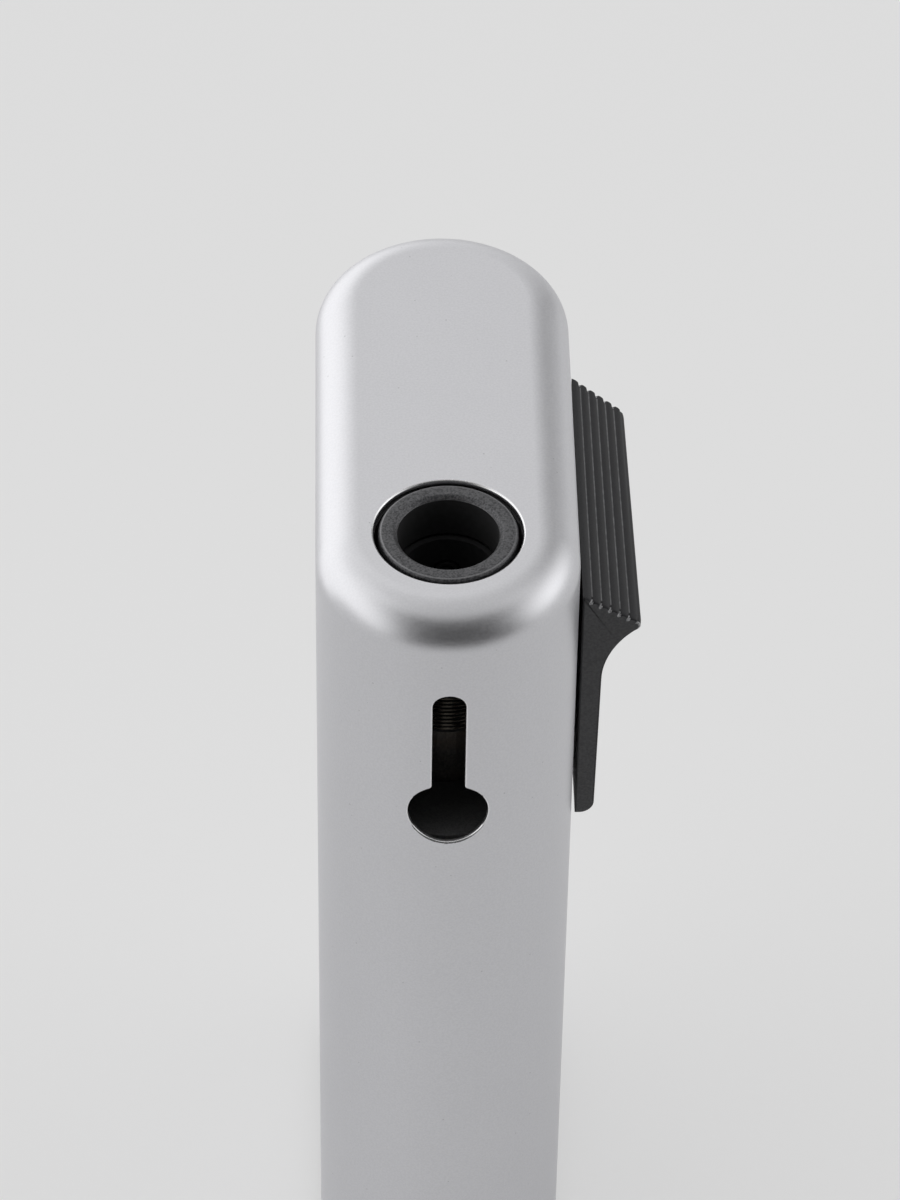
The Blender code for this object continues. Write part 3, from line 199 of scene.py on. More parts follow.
class TorchTrigger(bpy.types.PropertyGroup):
    """Sizes and colours of the thumb trigger"""

    gap: length("Gap", "Gap to the case", 0.3)
    drop: length("Drop", "Case top to the trigger's top", 6.6)
    height: length("Height", "Height of the trigger", 20.0)
    span: length("Span", "Length along the case", 21.0)
    lip_reach: length("Lip reach", "Case to the tip of the lip", 4.16)
    lip_drop: length("Lip drop", "Trigger's top to the lip's middle", 2.5)
    lip_round: length("Lip round", "Radius of the lip", 0.35)
    undercut: slant("Undercut", "Angle of the curve under the lip", 52)
    plate_reach: length("Plate reach", "Case to the face of the plate", 1.72)
    plate_taper: length("Plate taper", "Thinning of the plate at its foot", 0.15)
    corner: length("Corner", "Radius at the plate's foot", 1.0)
    rib_count: IntProperty(name="Ribs", description="Ribs on the thumb slope", default=6, min=1)
    rib_height: length("Rib height", "Height of a rib", 0.075)
    end_round: length("End round", "Radius round the two ends", 0.12)
    rear_taper: length("Rear taper", "Loss of the lip's reach at the rear", 0.28)
    rear_root: length("Rear root", "Root's run past the rear end", 0.6)
    rear_slant: length("Rear slant", "Root's end to the lip's end at the rear", 0.9)
    flare: length("Flare", "Length of a groove's open end", 0.5)
    flare_depth: length("Flare depth", "Extra depth of a groove's end", 0.2)
    tongue_width: length("Tongue width", "Width of the tongue", 4.0)
    tongue_drop: length("Tongue drop", "Trigger's top to the tongue", 4.7)
    tongue_height: length("Tongue height", "Height of the tongue", 4.4)
    # Painted light: these two colours make the end faces paler than the black moulding, standing in for the light
    # those faces catch.
    painted_lit_end_dark: colour("Ends dark", "Darker grains of the ends", (0.070, 0.070, 0.072))
    painted_lit_end_light: colour("Ends light", "Lighter grains of the ends", (0.105, 0.105, 0.108))
    black: colour("Black", "Darker moulding", (0.025, 0.025, 0.026))
    grey: colour("Grey", "Lighter moulding", (0.042, 0.042, 0.045))
    # A painted highlight: pale lines along the grooves' valleys, standing in for the light that the grooves' edges
    # catch.
    line: colour("Line", "Dust along the grooves", (0.190, 0.190, 0.196))
    worn: colour("Worn", "Rubbed plastic", (0.60, 0.60, 0.61))


class TorchBurner(bpy.types.PropertyGroup):
    """Sizes and colours of the nozzle ring and the burner head"""

    ring_drop: length("Ring drop", "Case top to the ring's face", 0.02)
    bore: length("Bore", "Radius of the ring's bore", 3.27)
    chamfer: length("Chamfer", "Chamfer at the ring's mouth", 0.27)
    shoulder: length("Shoulder", "Radius on the ring's outer edge", 0.34)
    worn_edge: length("Worn edge", "Radius on the mouth's edges", 0.06)
    thread_depth: length("Thread depth", "Depth of the head's thread", 0.17)
    thread_pitch: length("Thread pitch", "Pitch of the head's thread", 0.34)
    thread_gap: length("Thread gap", "Gap between ring and head", 0.3)
    head_wall: length("Head wall", "Wall of the head's chamber", 0.6)
    socket: length("Socket", "Radius of the mixing tube's socket", 2.7)
    socket_depth: length("Socket depth", "Depth of the mixing tube's socket", 5.3)
    electrode_drop: length("Electrode drop", "Case top to the spark electrode", 6.4)
    electrode_hole: length("Electrode hole", "Radius of the electrode's way in", 1.1)
    ring_dark: colour("Ring dark", "Darker grains of the ring", (0.060, 0.060, 0.063))
    ring_light: colour("Ring light", "Lighter grains of the ring", (0.165, 0.165, 0.171))
    # A painted highlight: the colour of the ring's shoulder and chamfer edge, standing in for the light they
    # catch.
    ring_edge_highlight: colour("Ring rubbed", "Rubbed edges of the ring", (0.24, 0.24, 0.247))
    ring_grain: length("Ring grain", "Size of the ring's blasted grain", 0.13)
    brass_dark: colour("Brass dark", "Darker smoked brass", (0.35, 0.31, 0.26))
    brass_light: colour("Brass light", "Lighter smoked brass", (0.50, 0.45, 0.38))
    brass_heat: colour("Brass heat", "Heated brass", (0.24, 0.20, 0.15))
    # Painted shade: black put on the ring's bore, the burner's chamber and thread roots and the pieces deep in the
    # nozzle, where shade falls.
    painted_shade: colour("Soot", "Sooted metal", (0.020, 0.020, 0.021))


class TorchBase(bpy.types.PropertyGroup):
    """Sizes of the base, of what sits in it and of the soft pieces inside"""

    chamfer: length("Chamfer", "Chamfer round the foot", 0.4)
    foot_ease: length("Foot ease", "Radius on the edges of the base", 0.08)
    edge_ease: length("Edge ease", "Radius on the edges of the screws, the dial and the gasket", 0.15)
    flange: length("Flange", "Thickness of the flange", 1.2)
    plug_inset: length("Plug inset", "Case's flank to the plug's side", 0.7)
    gap: length("Gap", "Gap round each piece in the base", 0.3)
    recess: length("Recess", "Base's face to the pieces in it", 0.3)
    screw_head: length("Screw head", "Thickness of a screw's head", 1.0)
    screw_shank: length("Screw shank", "Radius of a screw's thread", 0.8)
    screw_thread: length("Screw thread", "Depth of a screw's thread", 0.16)
    screw_pitch: length("Screw pitch", "Pitch of a screw's thread", 0.5)
    drive_width: length("Drive width", "Width of the screws' cross recess", 0.45)
    drive_depth: length("Drive depth", "Depth of the screws' cross recess", 0.5)
    dial_radius: length("Dial radius", "Radius of the flame dial", 3.3)
    dial_notch: length("Dial notch", "Radius of the notches round the dial", 0.45)
    dial_notches: IntProperty(name="Dial notches", description="Notches round the dial", default=12, min=3)
    adjuster_shank: length("Adjuster shank", "Radius of the dial's screw", 1.0)
    valve_barrel: length("Valve barrel", "Radius of the valve's barrel", 2.3)
    valve_flange: length("Valve flange", "Thickness of the valve's flange", 1.0)
    valve_ease: length("Valve ease", "Radius on the valve's edges", 0.12)
    valve_chamber: length("Valve chamber", "Radius of the valve's chamber", 1.5)
    valve_outlet: length("Valve outlet", "Radius of the valve's outlet", 0.5)
    valve_lip: length("Valve lip", "Wall over the chamber", 1.5)
    stem_radius: length("Stem radius", "Radius of the valve's stem", 0.8)
    stem_hole: length("Stem hole", "Radius of the hole round the stem", 1.1)
    collar: length("Collar", "Height of the stem's collar", 1.0)
    soft_ease: length("Soft ease", "Radius on the edges of soft pieces and the stem", 0.2)
    hose_bore: length("Hose bore", "Radius of the gas hose's bore", 1.0)
    gasket_width: length("Gasket width", "Width of the tank's gasket", 0.6)


class TorchStage(bpy.types.PropertyGroup):
    """Floor, light and camera"""

    floor: colour("Floor", "Colour of the floor", (0.845, 0.845, 0.845))
    drop: colour("Backdrop", "Colour behind the floor", (0.714, 0.714, 0.714))
    floor_size: length("Floor size", "Half the floor's side", 3000)
    floor_front: length("Floor front", "Reach in front", 240)
    floor_left: length("Floor left", "Reach to the left behind the step", 130)
    floor_step: length("Floor step", "Where the floor steps in at the left", 40)
    plain: level("Plain share", "Floor's share of plain colour", 0.55)
    mirrored: level("Mirrored share", "The same share in reflections", 0.25)
    ambient: level("Ambient", "Light from every side", 0.08)
    overhead: level("Overhead", "Light from above", 0.68)
    back: level("Back", "Light from behind", 0.92)
    left: level("Left", "Light from the left", 1.50)
    right: level("Right", "Light from the right", 1.80)
    edge: level("Edge", "Light that draws the bright left edge", 1.58)
    lens: FloatProperty(name="Lens", description="Focal length in millimetres", default=156.05)
    sensor: FloatProperty(name="Sensor", description="Long side of the sensor in millimetres", default=36.0)
    near_clip: length("Near clip", "Nearest distance seen", 10)
    stand: FloatVectorProperty(
        name="Stand", description="Where the camera stands", size=3, subtype="TRANSLATION",
        default=(-6.866 * MM, -253.714 * MM, 301.716 * MM),
    )
    pitch: slant("Pitch", "Tilt downwards", 43.69)
    yaw: slant("Yaw", "Turn to the right", 1.66)
    roll: slant("Roll", "Lean to the left", 0.89)


class Finish(NamedTuple):
    """A grained finish: its two colours, the size of its grain, its roughness and how metallic it is."""

    dark: tuple
    light: tuple
    grain: float
    roughness: float
    metallic: float = 0.0


class Patches(NamedTuple):
    """Patches on a finish: their size, the levels between which they rise, and their strength."""

    size: float
    low: float
    high: float
    strength: float


class Winding(NamedTuple):
    """A spring's turns and the thickness of its wire."""

    turns: int
    wire: float


class Softbox(NamedTuple):
    """A round patch of soft light, in degrees; azimuth 0 is the camera's side and 90 the trigger's."""

    azimuth: float
    elevation: float
    core: float
    spread: float


PITS = Patches(1.3 * MM, low=0.02, high=0.06, strength=0.45)
HEAT = Patches(2.5 * MM, low=0.45, high=0.75, strength=0.6)
RUBS = Patches(0.5 * MM, low=0.62, high=0.8, strength=0.25)
RUB_DETAIL = 4.0

LATHE_PITCH = 0.6 * MM
LATHE_WANDER = 0.6
LATHE_STRENGTH = 0.35

SCREW_STEEL = Finish((0.42, 0.42, 0.43), (0.58, 0.58, 0.58), 0.1 * MM, roughness=0.32, metallic=1.0)
SPRING_STEEL = Finish((0.36, 0.36, 0.37), (0.56, 0.56, 0.56), 0.08 * MM, roughness=0.30, metallic=1.0)
BURNT_STEEL = Finish((0.14, 0.13, 0.125), (0.24, 0.225, 0.21), 0.15 * MM, roughness=0.45, metallic=0.3)
BURNT_HEAT = (0.20, 0.15, 0.11)
TURNED_BRASS = Finish((0.50, 0.35, 0.14), (0.66, 0.49, 0.22), 0.15 * MM, roughness=0.30, metallic=1.0)
TURNED_GROOVE = (0.42, 0.29, 0.11)
BLACK_RUBBER = Finish((0.012, 0.012, 0.012), (0.028, 0.028, 0.028), 0.06 * MM, roughness=0.75)
FILTER_FOAM = Finish((0.42, 0.37, 0.28), (0.64, 0.58, 0.47), 0.12 * MM, roughness=0.9)
CHARCOAL = Finish((0.07, 0.07, 0.072), (0.12, 0.12, 0.122), 0.12 * MM, roughness=0.38)
WHITE_ACETAL = Finish((0.62, 0.62, 0.60), (0.74, 0.74, 0.72), 0.15 * MM, roughness=0.42)
SMOKED_TANK = Finish((0.20, 0.20, 0.21), (0.36, 0.36, 0.37), 0.3 * MM, roughness=0.28)
RED_LEAD = Finish((0.34, 0.02, 0.015), (0.50, 0.05, 0.04), 0.1 * MM, roughness=0.45)

WINDINGS = {
    "return_spring": Winding(7, 0.5 * MM),
    "valve_spring": Winding(4, 0.3 * MM),
    "fill_valve_spring": Winding(4, 0.3 * MM),
}

LEFT_BOX = Softbox(-97, 0, 33, 41)
RIGHT_BOX = Softbox(96, 13, 4, 53)
BACK_BOX = Softbox(197, 5, 26, 47)
TOP_BOX = Softbox(180, 85, 35, 8)
EDGE_BOX = Softbox(-145, 9, 22, 26)


class Wire:
    """A shader socket whose arithmetic adds Math nodes to its tree."""

    def __init__(self, tree, socket=None):
        self.tree = tree
        self.socket = socket

    def node(self, kind, settings=None, sockets=None, output=0):
        """Add a node, with its settings first and then its sockets' values or links; gives one output."""
        item = self.tree.nodes.new(kind)
        for key, value in (settings or {}).items():
            setattr(item, key, value)
        for key, value in (sockets or {}).items():
            if isinstance(value, Wire):
                self.tree.links.new(value.socket, item.inputs[key])
            else:
                item.inputs[key].default_value = value
        return Wire(self.tree, item.outputs[output])

    def into(self, item, key):
        """Link this socket to an input of a node."""
        self.tree.links.new(self.socket, item.inputs[key])

    def maths(self, operation, first, second):
        """One Math node."""
        return self.node("ShaderNodeMath", {"operation": operation}, {0: first, 1: second})

    def __add__(self, other):
        return self.maths("ADD", self, other)

    __radd__ = __add__

    def __sub__(self, other):
        return self.maths("SUBTRACT", self, other)

    def __rsub__(self, other):
        return self.maths("SUBTRACT", other, self)

    def __mul__(self, other):
        return self.maths("MULTIPLY", self, other)

    __rmul__ = __mul__


def place_on(start):
    """Points of a surface in the frame's axes."""
    return start.node("ShaderNodeTexCoord", output="Object")


def noise(start, size, detail=PLAIN_DETAIL):
    """Noise with blobs of about the given size."""
    blobs = {"Vector": place_on(start), "Scale": 1 / size, "Detail": detail}
    return start.node("ShaderNodeTexNoise", None, blobs, "Fac")


def rise(start, value, low, high):
    """A smooth step from 0 at the low value to 1 at the high one."""
    step = {"Value": value, "From Min": low, "From Max": high}
    return start.node("ShaderNodeMapRange", {"interpolation_type": "SMOOTHSTEP"}, step, "Result")


def mixed(start, factor, first, second):
    """A colour between two colours or colour sockets."""
    pair = [item if isinstance(item, Wire) else (*item, 1.0) for item in (first, second)]
    sockets = {MIX_FACTOR: factor, MIX_FIRST: pair[0], MIX_SECOND: pair[1]}
    return start.node("ShaderNodeMix", {"data_type": "RGBA"}, sockets, MIX_RESULT)


def grained(name, finish, relief=PLAIN_RELIEF, spread=PLAIN_SPREAD, overlays=(), shine=PLAIN_SHINE):
    """A material whose colour, gloss and relief follow a grain; overlays are (mask function, colour)."""
    material = bpy.data.materials.new(name)
    material.use_nodes = True
    shader = material.node_tree.nodes["Principled BSDF"]
    start = Wire(material.node_tree)
    fine = noise(start, finish.grain)
    cloud = noise(start, CLOUD_SIZE * finish.grain)
    share = rise(start, fine * (1 - CLOUD_SHARE) + cloud * CLOUD_SHARE, GRAIN_LOW, GRAIN_HIGH)
    base = mixed(start, share, finish.dark, finish.light)
    for mask, tint in overlays:
        base = mixed(start, mask(start), base, tint)
    base.into(shader, "Base Color")
    (share * spread + (finish.roughness - spread / 2)).into(shader, "Roughness")
    shader.inputs["Metallic"].default_value = finish.metallic
    shader.inputs["Specular IOR Level"].default_value = shine
    bump = {"Strength": 1.0, "Distance": relief, "Height": fine}
    start.node("ShaderNodeBump", None, bump, "Normal").into(shader, "Normal")
    material.diffuse_color = (*finish.light, 1.0)
    return material


def dimmed(tint, share):
    """A darker colour of the same hue."""
    return [share * value for value in tint]


def pits(start):
    """Sparse dark specks of the blasted metal."""
    cells = {"Vector": place_on(start), "Scale": 1 / PITS.size}
    near = start.node("ShaderNodeTexVoronoi", None, cells, "Distance")
    return (1 - rise(start, near, PITS.low, PITS.high)) * PITS.strength


def heat_bands(start):
    """Straw and brown patches where the flame has heated the metal."""
    return rise(start, noise(start, HEAT.size), HEAT.low, HEAT.high) * HEAT.strength


def rubbed_patches(start):
    """Dust and rub that lighten the moulding in patches."""
    return rise(start, noise(start, RUBS.size, RUB_DETAIL), RUBS.low, RUBS.high) * RUBS.strength


def turning_lines(start):
    """Fine rings left by the lathe."""
    settings = {"wave_type": "BANDS", "bands_direction": "Z"}
    bands = {"Vector": place_on(start), "Scale": 1 / LATHE_PITCH}
    bands.update({"Distortion": LATHE_WANDER, "Detail": PLAIN_DETAIL})
    return start.node("ShaderNodeTexWave", settings, bands, "Fac") * LATHE_STRENGTH


def blasted_aluminium(look):
    """Bead-blasted and anodised aluminium."""
    finish = Finish(look.shade, look.light, look.grain, roughness=0.39, metallic=1.0)
    return grained("blasted_aluminium", finish, relief=0.001 * MM, spread=0.06, overlays=[(pits, look.pit)])


def bright_edge(look):
    """The same metal where its edge was broken after blasting."""
    finish = Finish(dimmed(look.edge, EDGE_SHADE), look.edge, look.grain, roughness=0.24, metallic=1.0)
    return grained("bright_edge", finish, relief=0.0005 * MM, spread=0.08)


def blasted_black(look):
    """The ring's sandblasted black."""
    finish = Finish(look.ring_dark, look.ring_light, look.ring_grain, roughness=0.5, metallic=0.85)
    return grained("blasted_ring", finish, relief=0.02 * MM, spread=0.2)


def painted_ring_highlight(look):
    """A painted highlight: the ring's black made paler round its outer shoulder and at the chamfer's lower edge,
    for the light those edges catch.
    """
    finish = Finish(look.ring_light, look.ring_edge_highlight, look.ring_grain, roughness=0.42, metallic=0.85)
    return grained("painted_ring_edge_highlight", finish, relief=0.01 * MM, spread=0.2)


def painted_shade_black(look):
    """Black painted shade for the deep places: the ring's bore, the burner's thread roots and chamber, and the
    pieces deep in the nozzle; made once.
    """
    finish = Finish(dimmed(look.painted_shade, DEEP_SHADE), look.painted_shade, 0.3 * MM, roughness=0.85)
    return bpy.data.materials.get("painted_shade") or grained("painted_shade", finish)


def smoked_brass(look):
    """Brass that stands in the flame's smoke."""
    finish = Finish(look.brass_dark, look.brass_light, 0.4 * MM, roughness=0.22, metallic=1.0)
    overlays = [(heat_bands, look.brass_heat)]
    return grained("smoked_brass", finish, relief=0.0003 * MM, spread=0.06, overlays=overlays)


def moulded_black(name, look, grain=0.07 * MM, overlays=()):
    """Black moulding with a fine grain."""
    finish = Finish(look.black, look.grey, grain, roughness=0.5)
    return grained(name, finish, relief=0.004 * MM, overlays=overlays, shine=MOULDED_SHINE)


def trigger_paints(look):
    """The trigger's black, a painted highlight along its grooves, its rubbed edges and its ends painted paler as
    painted light, in their numbers' order.
    """
    black = moulded_black("trigger_black", look, overlays=[(rubbed_patches, look.grey)])
    # Painted highlight along the grooves.
    groove_highlight_finish = Finish(dimmed(look.line, DEEP_SHADE), look.line, 0.5 * MM, roughness=0.6)
    worn = Finish(look.line, look.worn, 0.1 * MM, roughness=0.45)
    # Painted light: the ends are coloured paler than the moulding, for the light they catch.
    end = Finish(look.painted_lit_end_dark, look.painted_lit_end_light, 0.16 * MM, roughness=0.5)
    return [
        black, grained("painted_groove_highlight", groove_highlight_finish), grained("worn_black", worn),
        grained("painted_lit_end", end, relief=0.008 * MM, shine=MOULDED_SHINE),
    ]


def arc(centre, radius, start, end, steps=ARC_STEPS):
    """Points of a circular arc from one angle to another."""
    angles = [start + (end - start) * step / steps for step in range(steps + 1)]
    return [(centre[0] + radius * math.cos(a), centre[1] + radius * math.sin(a)) for a in angles]


def eased(outline, radius):
    """A closed outline with each corner rounded off by about a radius, or by one radius for each corner."""
    points = [Vector(point) for point in outline]
    radii = radius if isinstance(radius, list) else [radius] * len(points)
    result = []
    for index, (corner, size) in enumerate(zip(points, radii)):
        before = points[index - 1] - corner
        after = points[(index + 1) % len(points)] - corner
        if size == 0 or corner.x == 0:
            result.append(tuple(corner))
            continue
        start = corner + before.normalized() * min(size, before.length * EASE_LIMIT)
        end = corner + after.normalized() * min(size, after.length * EASE_LIMIT)
        for step in range(EASE_STEPS + 1):
            t = step / EASE_STEPS
            result.append(tuple(start.lerp(corner, t).lerp(corner.lerp(end, t), t)))
    return result


def inset(outline, amount):
    """A closed outline moved inwards, each point along the middle of its two edges' normals."""
    points = [Vector(point) for point in outline]
    result = []
    for index, point in enumerate(points):
        before = (point - points[index - 1]).normalized()
        after = (points[(index + 1) % len(points)] - point).normalized()
        middle = Vector((before.y + after.y, -before.x - after.x))
        miter = middle / max(middle.length_squared / 2, MITER_LEAST)
        result.append(point + miter * amount)
    return result


def skin(loops, closed=False, paint=None):
    """A body through loops of points; its ends are capped, or joined to each other when it is closed.

    paint(row, index) may give each face its material's number.
    """
    shape = bmesh.new()
    rings = [[shape.verts.new(point) for point in loop] for loop in loops]
    pairs = list(zip(rings, rings[1:]))
    if closed:
        pairs.append((rings[-1], rings[0]))
    for row, (lower, upper) in enumerate(pairs):
        for index in range(len(lower)):
            face = shape.faces.new((lower[index - 1], lower[index], upper[index], upper[index - 1]))
            if paint:
                face.material_index = paint(row, index)
    if not closed:
        shape.faces.new(rings[0])
        shape.faces.new(rings[-1])
    return shape


def circle(radius, z, centre_y, steps):
    """Points of a level circle about a vertical axis."""
    return [(x, y, z) for x, y in arc((0.0, centre_y), radius, 0.0, 2 * math.pi, steps)[:-1]]


def turned(profile, centre_y=0.0, steps=ROUND_STEPS):
    """A body turned from (radius, z) points: solid if they start on the axis, otherwise a ring."""
    solid = profile[0][0] == 0
    loops = [circle(radius, z, centre_y, steps) for radius, z in profile if radius > 0]
    return skin(loops, closed=not solid)


def disc(radius, low, high, bore=0.0):
    """The profile of a disc between two levels, or of a ring with a bore."""
    return [(bore, low), (radius, low), (radius, high), (bore, high)]


def ended(radius, z):
    """Points of the case's round-ended outline at a level."""
    front = arc((0.0, FRONT_Y), radius, math.pi, 2 * math.pi, END_STEPS)
    rear = arc((0.0, REAR_Y), radius, 0.0, math.pi, END_STEPS)
    return [(x, y, z) for x, y in front + rear]


def threaded(radius, depth, pitch, low, high, centre_y, steps=ROUND_STEPS):
    """Loops of a screw thread, which runs out at both ends."""
    loops = []
    rows = round((high - low) / pitch * THREAD_ROWS)
    for row in range(rows + 1):
        z = low + (high - low) * row / rows
        fade = min(1.0, (z - low) / pitch, (high - z) / pitch)
        loop = []
        for step in range(steps):
            angle = 2 * math.pi * step / steps
            turn = (z - low) / pitch - step / steps
            cut = depth * (1 - fade * (0.5 - 0.5 * math.cos(2 * math.pi * turn)))
            x = (radius - cut) * math.cos(angle)
            loop.append((x, centre_y + (radius - cut) * math.sin(angle), z))
        loops.append(loop)
    return loops


def coil(radius, winding, low, high, centre_y):
    """A compression spring of round wire, closed at both ends."""
    turns, wire = winding
    rise_z = high - low - wire
    closed = CLOSED_TURNS / turns
    dead = CLOSED_PITCH * wire
    count = turns * COIL_STEPS
    section = arc((0.0, 0.0), wire / 2, 0.0, 2 * math.pi, WIRE_SIDES)[:-1]
    loops = []
    for step in range(count + 1):
        t = step / count
        if t < closed:
            z = dead * t / closed
        elif t > 1 - closed:
            z = rise_z - dead * (1 - t) / closed
        else:
            z = dead + (rise_z - 2 * dead) * (t - closed) / (1 - 2 * closed)
        angle = 2 * math.pi * step / COIL_STEPS
        out = Vector((math.cos(angle), math.sin(angle), 0.0))
        middle = Vector((0.0, centre_y, low + wire / 2 + z)) + out * radius
        loops.append([middle + out * u + Vector((0.0, 0.0, v)) for u, v in section])
    return skin(loops)


def block(low, high):
    """A box between two corners."""
    corners = [(low[0], low[1]), (high[0], low[1]), (high[0], high[1]), (low[0], high[1])]
    return skin([[(x, y, z) for x, y in corners] for z in (low[2], high[2])])


def stepped(wide, narrow, low, step, high, centre_y):
    """A turned cutter that narrows at a step, with a broken edge at its mouth."""
    mouth = MOUTH_SHARE * (wide - narrow)
    profile = [
        (0.0, low - OVERCUT), (wide + mouth + OVERCUT, low - OVERCUT), (wide, low + mouth), (wide, step),
        (narrow, step), (narrow, high + OVERCUT), (0.0, high + OVERCUT),
    ]
    return turned(profile, centre_y)


def linked(name, shape, materials):
    """Link a shape to the scene as an object with materials."""
    bmesh.ops.recalc_face_normals(shape, faces=shape.faces)
    mesh = bpy.data.meshes.new(name)
    shape.to_mesh(mesh)
    shape.free()
    for material in materials:
        mesh.materials.append(material)
    item = bpy.data.objects.new(name, mesh)
    bpy.context.scene.collection.objects.link(item)
    return item


def carved(shape, tools, operation="DIFFERENCE"):
    """A shape with others cut from it, or joined to it; empty slots keep its faces' materials."""
    slots = [None] * PAINTS
    body = linked("carving", shape, slots)
    cutters = [linked("cutter", tool, slots) for tool in tools]
    for cutter in cutters:
        modifier = body.modifiers.new("carve", "BOOLEAN")
        modifier.operation = operation
        modifier.solver = "EXACT"
        modifier.object = cutter
    graph = bpy.context.evaluated_depsgraph_get()
    mesh = bpy.data.meshes.new_from_object(body.evaluated_get(graph))
    result = bmesh.new()
    result.from_mesh(mesh)
    bpy.data.meshes.remove(mesh)
    for item in (body, *cutters):
        bpy.data.meshes.remove(item.data)
    return result


def piece(name, shape, materials, node):
    """Link a shape as the finished piece that stands for a CAD node, on that node's body."""
    item = linked(name, shape, materials)
    item.data.shade_smooth()
    item.data.set_sharp_from_angle(angle=SMOOTH_ANGLE)
    for face in item.data.polygons:
        face.use_smooth = len(face.vertices) < CAP_CORNERS
    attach(item, BODY_OF[node])
    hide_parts(node)
    return item


def dress(material, *nodes):
    """Give CAD nodes that keep their shape a finish."""
    for node in nodes:
        data = frame["nodes"][node].data
        data.materials.clear()
        data.materials.append(material)


def middle_y(node):
    """Where a round node's axis stands along the case."""
    low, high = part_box(node)
    return (low.y + high.y) / 2


def case_rings(look):
    """The sleeve's section as (radius, z), from its ceiling down the inside, round the foot and up."""
    inner = HALF_WIDTH - look.wall
    bend = look.fillet - look.wall
    bend_z = TOP_Z - look.fillet
    edge = look.deburr / 2
    foot_z = CASE_LOW.z + edge
    rings = arc((inner - bend, bend_z), bend, math.pi / 2, 0.0, FILLET_STEPS)
    rings += [(inner, foot_z), (inner + edge, CASE_LOW.z), (HALF_WIDTH - edge, CASE_LOW.z)]
    for step in range(WALL_RINGS):
        rings.append((HALF_WIDTH, foot_z + (bend_z - foot_z) * step / WALL_RINGS))
    return rings + arc((HALF_WIDTH - look.fillet, bend_z), look.fillet, 0.0, math.pi / 2, FILLET_STEPS)


def keyhole_outline(look, margin):
    """The keyhole as (x, z), grown by a margin, with a small radius where its slot meets its circle."""
    radius = look.keyhole_radius + margin
    half = look.slot_width / 2 + margin
    throat = max(look.throat - margin, THROAT_LEAST * look.throat)
    middle_z = TOP_Z - look.keyhole_drop
    lift = math.sqrt((radius + throat) ** 2 - (half + throat) ** 2)
    slope = math.atan2(lift, half + throat)
    top_z = TOP_Z - look.slot_drop - look.slot_width / 2
    outline = arc((0.0, middle_z), radius, slope, -math.pi - slope, KEYHOLE_STEPS)
    outline += arc((-half - throat, middle_z + lift), throat, -slope, 0.0)[1:]
    outline += arc((0.0, top_z), half, math.pi, 0.0, SLOT_STEPS)
    return outline + arc((half + throat, middle_z + lift), throat, math.pi, math.pi + slope)[:-1]


def keyhole_cutter(look):
    """A cutter for the keyhole whose broken edge follows the round front of the case."""
    edge = look.deburr
    loops = [[(x, CASE_LOW.y - OVERCUT, z) for x, z in keyhole_outline(look, edge)]]
    sections = [(depth * edge, margin * edge) for depth, margin in BROKEN_EDGE]
    for depth, margin in (*sections, (HALF_WIDTH / 2, 0.0)):
        reach = HALF_WIDTH - depth
        outline = keyhole_outline(look, margin)
        loops.append([(x, FRONT_Y - math.sqrt(reach ** 2 - x ** 2), z) for x, z in outline])
    return skin(loops)


def hole_cutter(look):
    """A cutter for the nozzle's hole, with a broken edge."""
    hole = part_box("nozzle_ring")[1].x + look.ring_gap
    profile = [(0.0, TOP_Z + OVERCUT), (hole + look.deburr + OVERCUT, TOP_Z + OVERCUT)]
    for depth, margin in BROKEN_EDGE:
        profile.append((hole + margin * look.deburr, TOP_Z - depth * look.deburr))
    profile.append((hole, TOP_Z - look.fillet))
    return turned(profile, FRONT_Y, FINE_STEPS)


def window_cutter(look):
    """A cutter for the trigger's window in the flank."""
    half = look.tongue_width / 2
    top_z = TOP_Z - look.tongue_top
    low = (HALF_WIDTH - look.wall - OVERCUT, -half, top_z - look.tongue_height)
    return block(low, (HALF_WIDTH + OVERCUT, half, top_z))


def case_normal(point, look):
    """The exact normal of the case's outer form at a point near it."""
    core = HALF_WIDTH - look.fillet
    out = Vector((point.x, point.y - min(max(point.y, FRONT_Y), REAR_Y), 0.0))
    reach = out.length
    if reach > 0:
        out.normalize()
    lift = point.z - (TOP_Z - look.fillet)
    if lift <= 0:
        return out
    if reach <= core:
        return Vector((0.0, 0.0, 1.0))
    return (out * (reach - core) + Vector((0.0, 0.0, lift))).normalized()


def build_case(look):
    """The drawn sleeve with its nozzle hole, keyhole and trigger window."""
    sleeve = skin([ended(radius, z) for radius, z in case_rings(look)])
    sleeve = carved(sleeve, [hole_cutter(look), keyhole_cutter(look), window_cutter(look)])
    materials = [blasted_aluminium(look), bright_edge(look)]
    mesh = piece("case_sleeve", sleeve, materials, "case").data
    normals = [Vector(corner.vector) for corner in mesh.corner_normals]
    for face in mesh.polygons:
        facing = face.normal.dot(case_normal(face.center, look))
        if facing > SKIN_COSINE:
            for corner in face.loop_indices:
                normals[corner] = case_normal(mesh.vertices[mesh.loops[corner].vertex_index].co, look)
        elif facing > 1 - SKIN_COSINE:
            face.material_index = CASE_EDGE
    mesh.normals_split_custom_set(normals)


